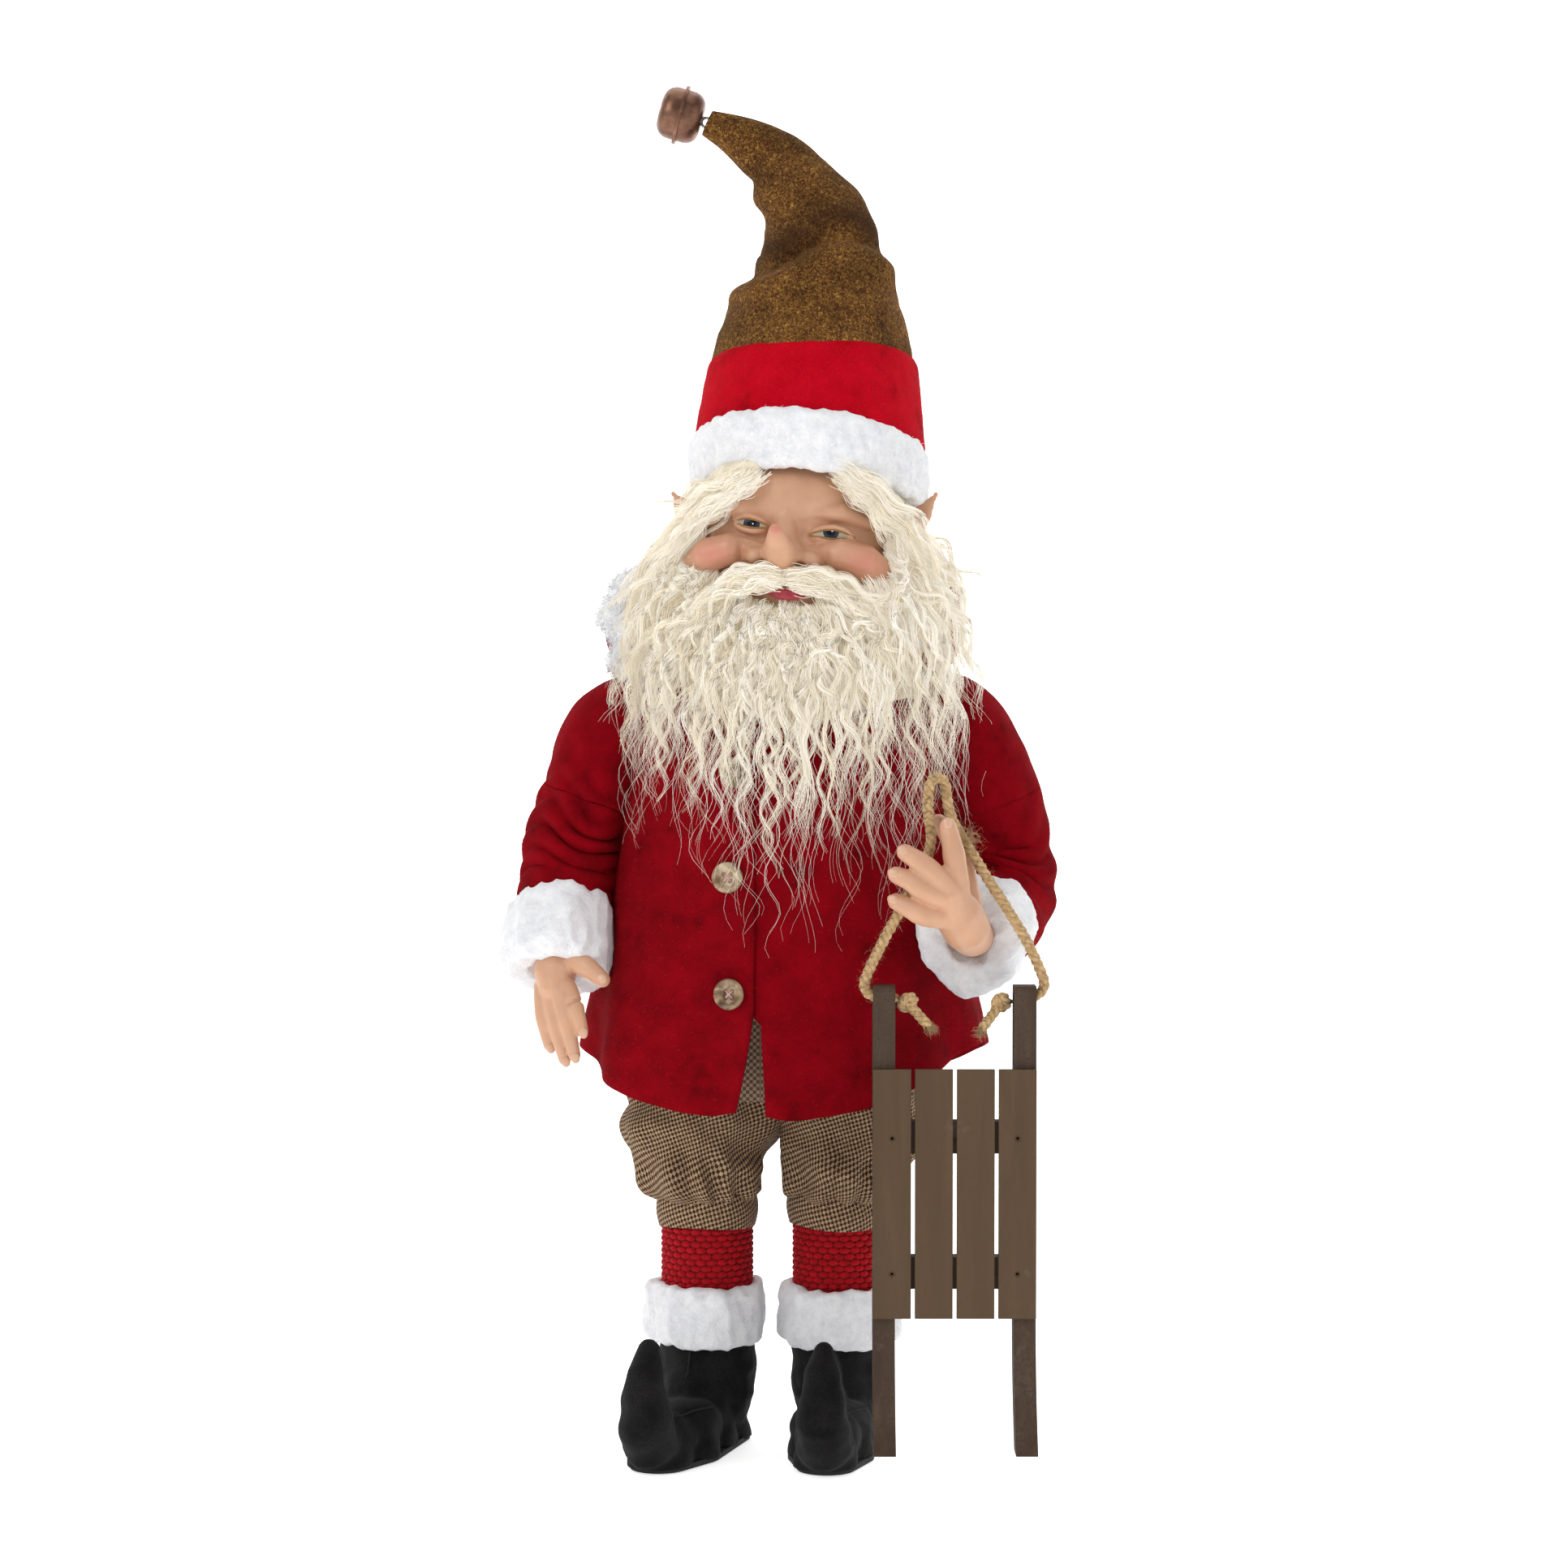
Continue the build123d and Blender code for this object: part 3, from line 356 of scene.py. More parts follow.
def strands(paths, radii, sides=3):
    """Points and faces of many thin tubes. paths is (strands, points, 3), radii (strands, points)."""
    count, length, _ = paths.shape
    way = np.gradient(paths, axis=1)
    way /= np.maximum(np.linalg.norm(way, axis=2, keepdims=True), 1e-9)
    helper = np.where(np.abs(way[..., 2:3]) < 0.8, (0.0, 0.0, 1.0), (0.0, 1.0, 0.0))
    side = np.cross(way, helper)
    side /= np.maximum(np.linalg.norm(side, axis=2, keepdims=True), 1e-9)
    up = np.cross(side, way)
    turns = np.arange(sides) * 2 * np.pi / sides
    ring = (np.cos(turns)[:, None] * side[:, :, None, :] + np.sin(turns)[:, None] * up[:, :, None, :])
    points = (paths[:, :, None, :] + ring * radii[:, :, None, None]).reshape(-1, 3)
    i, j, k = np.meshgrid(np.arange(count), np.arange(length - 1), np.arange(sides), indexing="ij")
    base = i * length * sides + j * sides
    nxt = (k + 1) % sides
    faces = np.stack([base + k, base + nxt, base + sides + nxt, base + sides + k], axis=-1)
    return points, faces.reshape(-1, 4).tolist()


def per_strand(piece, name, values, points_each):
    """Stores one value per strand on all of its points."""
    layer = piece.data.attributes.new(name, "FLOAT", "POINT")
    layer.data.foreach_set("value", np.repeat(values, points_each).astype(np.float32))


def scatter(piece, count, seed, keep=None):
    """Random points and normals over a mesh, the same number in each square millimetre."""
    rng = np.random.default_rng(seed)
    points, normals = points_of(piece), normals_of(piece)
    piece.data.calc_loop_triangles()
    flat = np.empty(len(piece.data.loop_triangles) * 3, int)
    piece.data.loop_triangles.foreach_get("vertices", flat)
    corners = flat.reshape(-1, 3)
    if keep is not None:
        corners = corners[keep(points[corners].mean(axis=1))]
    a, b, c = (points[corners[:, k]] for k in range(3))
    area = np.linalg.norm(np.cross(b - a, c - a), axis=1)
    chosen = rng.choice(len(corners), count, p=area / area.sum())
    u, v = rng.random((2, count))
    flip = u + v > 1
    u[flip], v[flip] = 1 - u[flip], 1 - v[flip]
    w = np.stack([1 - u - v, u, v], axis=1)[:, :, None]
    place = (w * points[corners[chosen]]).sum(axis=1)
    normal = (w * normals[corners[chosen]]).sum(axis=1)
    return place, normal / np.maximum(np.linalg.norm(normal, axis=1)[:, None], 1e-9)


def pile(place, normal, length, radius, curl, seed, count=6, lean=(0, 0, 0)):
    """Short curled fibres that grow from points along normals."""
    rng = np.random.default_rng(seed)
    n = len(place)
    t = np.linspace(0, 1, count)
    reach = length * rng.uniform(0.55, 1.25, n)
    way = normal + rng.normal(0, 0.35, (n, 3)) + np.asarray(lean)
    way /= np.linalg.norm(way, axis=1)[:, None]
    helper = rng.normal(0, 1, (n, 3))
    side = np.cross(way, helper)
    side /= np.linalg.norm(side, axis=1)[:, None]
    up = np.cross(side, way)
    phase, turns = rng.uniform(0, 6.28, n), rng.uniform(0.5, 1.3, n)
    swirl = phase[:, None] + turns[:, None] * 6.28 * t
    width = curl * t * rng.uniform(0.5, 1.3, n)[:, None]
    paths = (place[:, None] + way[:, None] * (reach[:, None] * t)[..., None]
             + side[:, None] * (np.cos(swirl) * width)[..., None]
             + up[:, None] * (np.sin(swirl) * width)[..., None])
    taper = radius * (1 - 0.75 * t) * rng.uniform(0.7, 1.2, n)[:, None]
    return paths, taper


def blob(centre, radii, turn=(0, 0, 0), detail=3):
    """Points and faces of one ellipsoid. turn is in degrees."""
    mesh = bpy.data.meshes.new("blob")
    import bmesh
    shape = bmesh.new()
    bmesh.ops.create_icosphere(shape, subdivisions=detail, radius=1.0)
    shape.to_mesh(mesh)
    shape.free()
    points = np.array([v.co for v in mesh.vertices]) * radii
    faces = [tuple(p.vertices) for p in mesh.polygons]
    bpy.data.meshes.remove(mesh)
    matrix = np.array(Euler([math.radians(a) for a in turn]).to_matrix())
    return points @ matrix.T + centre, faces


def limb(line, radii, sides=14):
    """A closed round bar along a line, with a ball at each end."""
    line, radii = np.asarray(line, float), np.asarray(radii, float)
    points, faces = strands(line[None], radii[None], sides)
    for end, radius in ((line[0], radii[0]), (line[-1], radii[-1])):
        ball, ball_faces = blob(end, (radius,) * 3, detail=2)
        faces += [tuple(i + len(points) for i in f) for f in ball_faces]
        points = np.vstack([points, ball])
    return points, faces


def joined(parts):
    """Several lists of points and faces as one."""
    points, faces, base = [], [], 0
    for part_points, part_faces in parts:
        points.append(part_points)
        faces += [tuple(i + base for i in f) for f in part_faces]
        base += len(part_points)
    return np.vstack(points), faces


def cast(name, parts, material, voxel, smoothing, body=None, slot=None, replaces=()):
    """Overlapping shapes melted into one skin, as a modeller blends clay."""
    points, faces = joined(parts)
    piece = new_piece(name, points, faces, material, slot=slot, replaces=replaces)
    remesh = piece.modifiers.new("melt", "REMESH")
    remesh.mode, remesh.voxel_size, remesh.use_smooth_shade = "VOXEL", voxel * 0.001, True
    soften = piece.modifiers.new("soften", "SMOOTH")
    soften.iterations, soften.factor = smoothing, 0.5
    apply_all(piece)
    if body:
        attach(piece, body)
    return piece


def push(points, centre, size, move):
    """Moves the points near centre, as a thumb in clay. size is how far it reaches each way."""
    away = (points - centre) / np.asarray(size, float)
    share = np.exp(-(away**2).sum(axis=1))
    return points + share[:, None] * np.asarray(move, float)

# %% [markdown]
# ## Felt
# Boiled wool is matted fibre: soft cloudy darker patches, a fine tangle of hairs that catches
# light, and no shine. Two noises give the clouds and the tangle, sheen gives the halo of fibres.

# %% Felt finishes
def felt_finish(name, dark, middle, light, cloud=70.0):
    felt = Finish(name, roughness=0.95, Sheen_Weight=0.03, Sheen_Roughness=0.5)
    felt.set("Specular IOR Level", 0.06)
    felt.set("Sheen Tint", (*light, 1.0))
    patches = felt.noise(cloud, 4, 0.6)
    tangle = felt.noise(1500, 3, 0.7, distortion=1.5)
    base = felt.ramp(patches, (0.3, dark), (0.42, middle), (0.7, light))
    flecks = felt.grey(tangle, 0.3, 0.7, 0.7, 1.25)
    felt.color(felt.mix(1.0, base, flecks, "MULTIPLY"))
    felt.bump(felt.noise(700, 4, 0.75, distortion=2.0), 0.55, 0.0012)
    return felt.material


coat_felt = felt_finish("coat_felt", (0.13, 0.0004, 0.003), (0.19, 0.0005, 0.004), (0.26, 0.0008, 0.006))
band_felt = felt_finish("band_felt", (0.32, 0.0006, 0.006), (0.46, 0.0008, 0.009), (0.55, 0.0015, 0.013))

hat = Finish("hat_felt", roughness=0.95, Sheen_Weight=0.04, Sheen_Roughness=0.5)
hat.set("Specular IOR Level", 0.08)
hat.set("Sheen Tint", (0.5, 0.35, 0.15, 1.0))
heather = hat.ramp(hat.noise(760, 4, 0.75, distortion=1.2), (0.34, (0.022, 0.008, 0.003)),
                   (0.47, (0.085, 0.034, 0.011)), (0.57, (0.22, 0.105, 0.024)), (0.68, (0.48, 0.28, 0.07)))
broad = hat.grey(hat.noise(38, 4, 0.6), 0.34, 0.66, 0.5, 1.35)
hat_color = hat.mix(1.0, heather, broad, "MULTIPLY")
maroon = hat.grey(hat.noise(900, 2, 0.6), 0.62, 0.72)
flecked = hat.mix(maroon, hat_color, (0.16, 0.02, 0.015))
# A near-black brown on the fold mask: painted shadow inside the fold.
hat.color(hat.mix(hat.attribute("fold"), flecked, (0.030, 0.012, 0.006)))
hat.bump(hat.noise(800, 4, 0.75, distortion=2.0), 0.6, 0.0012)
hat_felt = hat.material

red_fibre = Finish("red_fibre", (0.45, 0.01, 0.02), 0.8).material
brown_fibre = Finish("brown_fibre", (0.2, 0.11, 0.04), 0.8).material
print("felt finishes", coat_felt.name, band_felt.name, hat_felt.name)

# %% [markdown]
# ## Fleece and mohair
# Sherpa fleece is a white knit with curled pile, so light goes into it and comes back: a little
# subsurface and a clumped bump. Mohair is a brighter, silkier fibre, cream in the mass and nearly
# white where a strand crosses the light. Each strand keeps its own tone. The strands also glow
# faintly in their own colour: painted light standing in for light that passes through the fibres.

# %% Fleece and hair finishes
fleece = Finish("white_fleece", (0.9, 0.9, 0.9), 0.9, Sheen_Weight=0.3, Sheen_Roughness=0.4)
fleece.set("Subsurface Weight", 0.25)
fleece.set("Subsurface Radius", (0.004, 0.004, 0.004))
fleece.set("Subsurface Scale", 0.6)
fleece_shade = fleece.ramp(fleece.noise(260, 4, 0.65), (0.30, (0.74, 0.75, 0.79)), (0.60, (0.93, 0.93, 0.94)))
fleece.color(fleece.mix(0.4, fleece_shade, fleece.ramp(
    fleece.noise(90), (0.35, (0.78, 0.79, 0.83)), (0.65, (0.92, 0.92, 0.93)))))
fleece.bump(fleece.noise(650, 4, 0.75, distortion=1.0), 0.7, 0.0016)
fleece_cloth = fleece.material

pile_fibre = Finish("fleece_fibre", (0.86, 0.86, 0.88), 0.75, Sheen_Weight=0.2).material


def hair_finish(name, shade, body_tone, light):
    hair = Finish(name, roughness=0.5, Sheen_Weight=0.25, Sheen_Roughness=0.4)
    hair.set("Specular IOR Level", 0.35)
    tone = hair.attribute("tone")
    shown = hair.ramp(tone, (0.0, shade), (0.45, body_tone), (1.0, light))
    hair.color(shown)
    # The strands glow faintly in their own colour: painted light for the light that passes through the fibres.
    hair.link(shown, hair.shader.inputs["Emission Color"])
    hair.set("Emission Strength", 0.14)
    return hair.material


mohair = hair_finish("mohair", (0.76, 0.66, 0.48), (0.92, 0.86, 0.73), (1.0, 0.97, 0.92))
under = Finish("mohair_under", roughness=0.9)
under.color(under.ramp(under.noise(260, 4, 0.7, under.stretched((1.0, 1.0, 0.22))),
                       (0.3, (0.66, 0.55, 0.37)), (0.55, (0.86, 0.78, 0.60)), (0.75, (0.95, 0.90, 0.78))))
under.bump(under.noise(700, 3, 0.6, under.stretched((1.0, 1.0, 0.12))), 0.8, 0.002)
mohair_under = under.material
print("fleece and hair finishes made")

# %% [markdown]
# ## The felt coat
# One skin of felt goes from the right front's edge round the back to the left front's edge, which
# lies under the right one down to the lowest button. Below it the two edges hang apart. The skin
# flares to the hem in shallow flutes, and gets its thickness at the end.

# %% The coat's shape
COAT_Z = np.array([164.0, 196, 222, 262, 300, 330, 352, 368, 380, 388])
COAT_A = np.array([101.0, 98.5, 93.5, 86.5, 80.0, 75.5, 71.5, 65.0, 55.0, 46.0])
COAT_B = np.array([77.0, 75.0, 72.0, 68.0, 64.5, 62.0, 59.5, 55.0, 49.0, 42.0])
HEM_FRONT, HEM_SIDE, NECK = 170.0, 200.0, 388.0


def coat_edge(z, right):
    """x of each front's edge at a height. The edges part below the lowest button."""
    below = np.clip((222.0 - z) / 50.0, 0.0, 1.0)
    if right:
        return -14.0 - 9.5 * below**1.3
    return -27.0 + 15.5 * np.clip((232.0 - z) / 18.0, 0.0, 1.0) + 3.0 * below


def coat_skin(share, z, inset=0.0):
    """A point of the coat. share goes from 0 at the right front's edge to 1 at the left's."""
    a, b = np.interp(z, COAT_Z, COAT_A), np.interp(z, COAT_Z, COAT_B)
    start = -math.pi / 2 - math.asin(-coat_edge(z, True) / a)
    end = -math.pi * 2.5 - math.asin(-coat_edge(z, False) / a)
    angle = start + (end - start) * share
    low = np.clip((330.0 - z) / 150.0, 0.0, 1.0) ** 1.4
    flute = low * (2.6 * math.sin(5 * angle + 0.7) + 1.8 * math.sin(9 * angle + 2.1 + z * 0.012)
                   + 1.1 * math.sin(14 * angle + z * 0.03))
    under_lap = 2.4 * np.clip((share - 0.955) / 0.045, 0, 1) * np.clip((z - 205) / 20, 0, 1)
    over_lap = 0.9 * np.clip((0.05 - share) / 0.05, 0, 1)
    out = flute - under_lap + over_lap - inset
    return ((a + out) * math.cos(angle), (b + out) * math.sin(angle), z)


def coat_hem(share):
    """The hem's height: low at the middle, higher at each side seam."""
    side = abs(math.cos(-math.pi / 2 - 2 * math.pi * share))
    corner = 2.5 * math.exp(-((share - 0.0) / 0.012) ** 2) + 2.5 * math.exp(-((share - 1.0) / 0.012) ** 2)
    return HEM_FRONT + (HEM_SIDE - HEM_FRONT) * side**2.4 + corner + 1.5 * math.sin(17 * share)


# %% [markdown]
# The felt follows the coat's shape as one grid of points that runs round the body from front edge
# to front edge. Slow ripples stand for the soft creases of cloth over stuffing. A cloth simulation
# could make them too, but the shape is fitted and padded, and ripples keep the hem where it is.

# %% The coat's cloth
COAT_ROWS, COAT_COLUMNS = 92, 260
coat_points = []
for row in range(COAT_ROWS):
    rise = row / (COAT_ROWS - 1)
    for column in range(COAT_COLUMNS):
        share = column / (COAT_COLUMNS - 1)
        hem = coat_hem(share)
        coat_points.append(coat_skin(share, hem + (NECK - hem) * rise))
coat_points = np.array(coat_points)
creases = ripple(coat_points * (1.0, 1.0, 0.55), 26.0, 3) + 0.5 * ripple(coat_points, 11.0, 4)
outward = coat_points * (1, 1, 0)
outward /= np.linalg.norm(outward, axis=1)[:, None]
coat_points += outward * (1.1 * creases)[:, None]
coat_cloth = new_piece("coat_cloth", coat_points, grid_faces(COAT_ROWS, COAT_COLUMNS, False), coat_felt,
                       slot="coat_felt", replaces=("coat_back", "coat_front_left", "coat_front_right"))
thicken(coat_cloth, 2.2)
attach(coat_cloth, "figure")
print("coat cloth", len(coat_cloth.data.vertices), "points")


# %% [markdown]
# Rows of machine stitching run 8 mm inside the hem and beside the front edge. Each stitch is a
# short dash of thread laid on the felt, so the line is dots and dashes and not a groove.

# %% Stitching
thread_red = Finish("coat_thread", (0.05, 0.001, 0.003), 0.8).material


def dashes(points, length, pause, radius):
    """Short bars along a line of points: paths and radii for strands()."""
    points = np.asarray(points, float)
    along = np.concatenate([[0], np.cumsum(np.linalg.norm(np.diff(points, axis=0), axis=1))])
    starts = np.arange(0, along[-1] - length, length + pause)
    t = starts[:, None] + np.linspace(0, length, 4)
    paths = np.stack([np.interp(t, along, points[:, k]) for k in range(3)], axis=-1)
    radii = np.full(t.shape, radius)
    radii[:, [0, -1]] *= 0.4
    return paths, radii


def laid_on(piece, line, lift):
    """A line of figure points outside a piece, dropped onto it until they stand lift mm proud."""
    laid = []
    for place in to_row(np.array(line, float)):
        place = Vector(place)
        surface = piece.closest_point_on_mesh(place)[1]
        laid.append(surface + (place - surface).normalized() * lift * 0.001)
    return np.array(laid) * 1000.0 - (0, FIGURE_Y, 0)


seam_lines = [[coat_skin(share, coat_hem(share) + 8.0, 3.0) for share in np.linspace(0.015, 0.985, 400)]]
seam_lines += [[coat_skin(0.020, z, 3.0) for z in np.linspace(182, 380, 120)]]
seam_lines += [[coat_skin(0.980, z, 3.0) for z in np.linspace(178, 222, 40)]]
dash_paths = [dashes(laid_on(coat_cloth, line, 0.3), 2.6, 1.2, 0.45) for line in seam_lines]
stitch_points, stitch_faces = strands(np.vstack([p for p, _ in dash_paths]),
                                      np.vstack([r for _, r in dash_paths]), 4)
new_piece("coat_stitches", stitch_points, stitch_faces, thread_red, "figure", "coat_felt")
print("coat stitches", len(dash_paths), "rows")

# %% [markdown]
# ## Sleeves
# Each sleeve is a felt tube over a wired arm. It is cut into two rings at mid upper arm, an
# upper and a lower one. Crush folds gather on the inner side of the elbow.

# %% Sleeves
ARM_LINES = {
    "left": ([(56, 2, 352), (84, 0, 352), (101, 2, 318), (107.5, 4, 288), (105, -10, 266),
              (98, -34, 260), (93, -53, 258.5)], [27, 24.5, 24, 24, 25, 23, 21.5]),
    "right": ([(-56, 2, 354), (-82, 0, 352), (-95, -1, 322), (-103, -2, 298), (-106, -9, 279),
               (-108, -18, 267), (-109, -24, 260)], [27, 23.5, 22.5, 22, 22.5, 21.5, 21]),
}
SLEEVE_ROWS, SLEEVE_COLUMNS = 96, 84
SLEEVE_CUT = {"left": 0.40, "right": 0.48}
elbows = {"left": (107, 4, 268), "right": (-103, -2, 296)}
for side, (route, radii) in ARM_LINES.items():
    line = smooth_line(route, SLEEVE_ROWS)
    route = np.asarray(route, float)
    reach = np.interp(np.linspace(0, 1, SLEEVE_ROWS), np.linspace(0, 1, len(radii)), radii)
    way, across, up = line_frames(line, (0.3, 1.0, 0.1))
    turns = np.linspace(0, 2 * np.pi, SLEEVE_COLUMNS, endpoint=False)
    ring = np.cos(turns)[None, :, None] * across[:, None] + np.sin(turns)[None, :, None] * up[:, None]
    bend = np.array(elbows[side])
    near = np.exp(-(np.linalg.norm(line - bend, axis=1) / 30.0) ** 2)
    inner = 0.5 + 0.5 * (ring @ np.array((0.0, -0.75, 0.65) if side == "left" else (0.1, -1.0, 0.1)))
    steps = np.linspace(0, 1, SLEEVE_ROWS)[:, None]
    winding = 2.6 * np.sin(turns * 2)[None, :] + 1.5 * np.cos(turns * 3)
    fold = near[:, None] * inner * np.sin(steps * 62 + winding) * 2.6
    points = (line[:, None] + ring * (reach[:, None] + fold)[..., None]).reshape(-1, 3)
    bumps = 1.5 * ripple(points * (1, 1, 0.8), 30.0, 11) + 0.8 * ripple(points, 13.0, 12)
    points = points + ring.reshape(-1, 3) * bumps[:, None]
    cut = int(SLEEVE_CUT[side] * SLEEVE_ROWS)
    for part, first, last, bodies, start, end in (
        ("upper", 0, cut + 1, ("figure", f"upper_arm_{side}"), line[int(0.08 * SLEEVE_ROWS)], line[cut - 6]),
        ("lower", cut, SLEEVE_ROWS, (f"upper_arm_{side}", f"forearm_{side}"),
         bend - way[cut] * 16, bend + way[-1] * 16),
    ):
        section = points[first * SLEEVE_COLUMNS : last * SLEEVE_COLUMNS]
        sleeve = new_piece(f"sleeve_{part}_cloth_{side}", section,
                           grid_faces(last - first, SLEEVE_COLUMNS, True), coat_felt, slot="coat_felt",
                           replaces=(f"sleeve_{part}_{side}", f"arm_wire_{part}_{side}"))
        thicken(sleeve, 1.6, offset=-1.0)
        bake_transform(sleeve)
print("sleeves made")

# %% [markdown]
# ## Pile trims
# The hat's edge, the cuffs, the boot tops and the hood's lining are all sherpa. Each is a soft
# ring with clumps pressed into it, and several thousand short curled fibres that blur its edge.

# %% Fleece rings
def fleece_piece(name, points, faces, body, fibres, seed, replaces=(), clump=7.5, depth=3.4, length=4.0,
                 curl=1.3):
    base = new_piece(name, points, faces, fleece_cloth, slot="white_fleece", replaces=replaces)
    subdivide(base, 1)
    skin = points_of(base)
    lumps = clumps(skin, clump, seed)
    move_points(base, skin + normals_of(base) * (depth * (0.55 - lumps))[:, None])
    place, normal = scatter(base, fibres, seed)
    paths, taper = pile(place, normal, length, 0.2, curl, seed + 1)
    pile_points, pile_faces = strands(paths, taper)
    fuzz = new_piece(name + "_pile", pile_points, pile_faces, pile_fibre, slot="white_fleece")
    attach(base, body)
    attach(fuzz, body)
    return base, fuzz


def soft_ring(axis_line, inner, outer, wobble, seed, columns=90, corner=10):
    """A thick ring along a short line, round in section. inner and outer are radii along it."""
    line = np.asarray(axis_line, float)
    way = line[-1] - line[0]
    length = np.linalg.norm(way)
    way = way / length
    helper = np.array((0.0, 1.0, 0.0)) if abs(way[1]) < 0.8 else np.array((1.0, 0.0, 0.0))
    side = np.cross(way, helper)
    side /= np.linalg.norm(side)
    up = np.cross(side, way)
    middle, half = (inner + outer) / 2, (outer - inner) / 2
    rows = []
    for k in range(2 * corner):
        turn = 2 * math.pi * k / (2 * corner)
        c, s = math.cos(turn), math.sin(turn)
        c, s = math.copysign(abs(c) ** 0.6, c), math.copysign(abs(s) ** 0.6, s)
        for j in range(columns):
            angle = 2 * math.pi * j / columns
            wave = wobble * math.sin(3 * angle + seed) + 0.6 * wobble * math.sin(7 * angle + 2 * seed)
            r = middle + half * c + wave * (0.5 + 0.5 * c)
            rows.append(line[0] + way * (length * (0.5 + 0.5 * s)) + side * (r * math.cos(angle))
                        + up * (r * math.sin(angle)))
    faces = grid_faces(2 * corner, columns, True)
    last = (2 * corner - 1) * columns
    faces += [(last + j, last + (j + 1) % columns, (j + 1) % columns, j) for j in range(columns)]
    return np.array(rows), faces


cuff_ends = {"left": ((97.5, -40, 261), (86.5, -79, 254.5)),
             "right": ((-107.5, -14, 269), (-110.5, -37, 236))}
for side, ends in cuff_ends.items():
    points, faces = soft_ring(ends, 9.0, 27.4, 1.4, 1.0 + len(side))
    fleece_piece(f"cuff_fleece_{side}", points, faces, f"forearm_{side}", 3400, 20 + len(side),
                 replaces=(f"cuff_{side}",))
boot_tops = {"left": (27.0, 0, 63), "right": (-38.0, 0, 64)}
for side, (x, y, z) in boot_tops.items():
    points, faces = soft_ring(((x, y, z - 14), (x, y, z + 16)), 19.5, 29.5, 1.6, 2.0 + len(side))
    fleece_piece(f"boot_fleece_{side}", points, faces, "figure", 3400, 30 + len(side),
                 replaces=(f"boot_trim_{side}",))
print("cuffs and boot tops made")

# %% [markdown]
# ## The hat
# A cone of heathered felt, folded over a wire so its tip falls to one side, set in a red felt
# band with a fleece edge. The cone is a stack of rings along a bent line. The rings dip where the
# felt folds: a ledge low on the front, and a notch where the tip turns. A mask puts painted
# shadow into the wool inside the fold.

# %% Hat crown
CROWN_LINE = [(13.5, 6.0, 524), (15.5, 7.0, 545), (17.5, 6.0, 568), (18.5, 3.0, 588), (13.5, 1.0, 607),
              (3.0, 0.0, 622), (-9.0, 0.0, 634), (-22.0, 0.0, 643), (-37.0, 0.0, 650)]
CROWN_RADII = [49.0, 46.0, 39.5, 32.0, 25.0, 19.0, 14.0, 9.5, 4.5]
CROWN_ROWS, CROWN_COLUMNS = 150, 120
crown_line = smooth_line(CROWN_LINE, CROWN_ROWS)
_, crown_side, crown_up = line_frames(crown_line, (0.0, 1.0, 0.0))
crown_share = np.linspace(0, 1, CROWN_ROWS)
crown_reach = np.interp(crown_share, np.linspace(0, 1, len(CROWN_RADII)), CROWN_RADII)
turns = np.linspace(0, 2 * np.pi, CROWN_COLUMNS, endpoint=False)
crown_ring = (np.cos(turns)[None, :, None] * crown_side[:, None]
              + np.sin(turns)[None, :, None] * crown_up[:, None])
crown_points = crown_line[:, None] + crown_ring * crown_reach[:, None, None]


def paint(piece, name, spots):
    """Stores a paint mask on a mesh: soft spots of (centre, reach, strength), in figure mm."""
    points = points_of(piece)
    mask = np.zeros(len(points))
    for centre, reach, strength in spots:
        away = (points - centre) / np.asarray(reach, float)
        mask = np.maximum(mask, strength * np.exp(-(away**2).sum(axis=1)))
    layer = piece.data.attributes.new(name, "FLOAT", "POINT")
    layer.data.foreach_set("value", mask.astype(np.float32))


def crease(points, level, tilt, depth, width):
    """Felt pinched along a slanting line round the cone: a ledge below it, a dip above."""
    height = points[..., 2] - level - tilt * points[..., 0]
    ledge = np.exp(-(((height + width * 0.9) / width) ** 2))
    return depth * (ledge - 0.9 * np.exp(-((height / (width * 0.8)) ** 2)))


arch = 12.0 * np.exp(-(((crown_points[..., 0] - 26) / 20) ** 2))
main_fold = crown_points - arch[..., None] * (0, 0, 1)
front_share = np.clip(1.0 - (crown_points[..., 0] - 12) ** 2 / 2400, 0.3, 1.0)
pinch = crease(main_fold, 578.0, 0.12, 9.0, 7.5) * front_share
pinch += crease(crown_points, 617.0, -0.2, 5.0, 5.0) * np.clip(0.3 - crown_points[..., 0] / 30, 0, 1)
pinch[crown_share > 0.85] *= 0.3
tuck = 2.4 * np.exp(-(((main_fold[..., 2] - 578.0 - 0.12 * main_fold[..., 0]) / 7.0) ** 2))
crown_points = (crown_points + crown_ring * pinch[..., None] - tuck[..., None] * (0, 0, 1)).reshape(-1, 3)
sag = 2.4 * ripple(crown_points * (1, 1, 1.3), 27.0, 5) + 0.6 * ripple(crown_points, 9.0, 6)
sag = sag * np.clip((crown_points[:, 2] - 542) / 16, 0, 1)
slack = np.repeat(np.clip(crown_reach / 25, 0.2, 1), CROWN_COLUMNS)
crown_points += crown_ring.reshape(-1, 3) * (sag * slack)[:, None]
hat_cloth = new_piece("hat_crown_cloth", crown_points, grid_faces(CROWN_ROWS, CROWN_COLUMNS, True), hat_felt,
                      slot="hat_felt", replaces=("hat_crown", "hat_wire"))
thicken(hat_cloth, 2.0)
# Painted shadow along the fold's line, and in the notch where the tip turns.
fold_shadow_spots = [((x, -14, 588 + 12 * math.exp(-(((x - 26) / 20) ** 2)) + 0.12 * x), (9, 24, 7), 0.85)
              for x in range(-26, 56, 6)]
paint(hat_cloth, "fold", fold_shadow_spots + [((-4, -8, 622), (10, 20, 5), 0.5)])
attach(hat_cloth, "head")

# %% [markdown]
# The band is a short felt tube, tilted with the brow. The fleece is a fat ring under it. Both are
# grids whose low and high edges lean by the sine and cosine of the angle round the head.

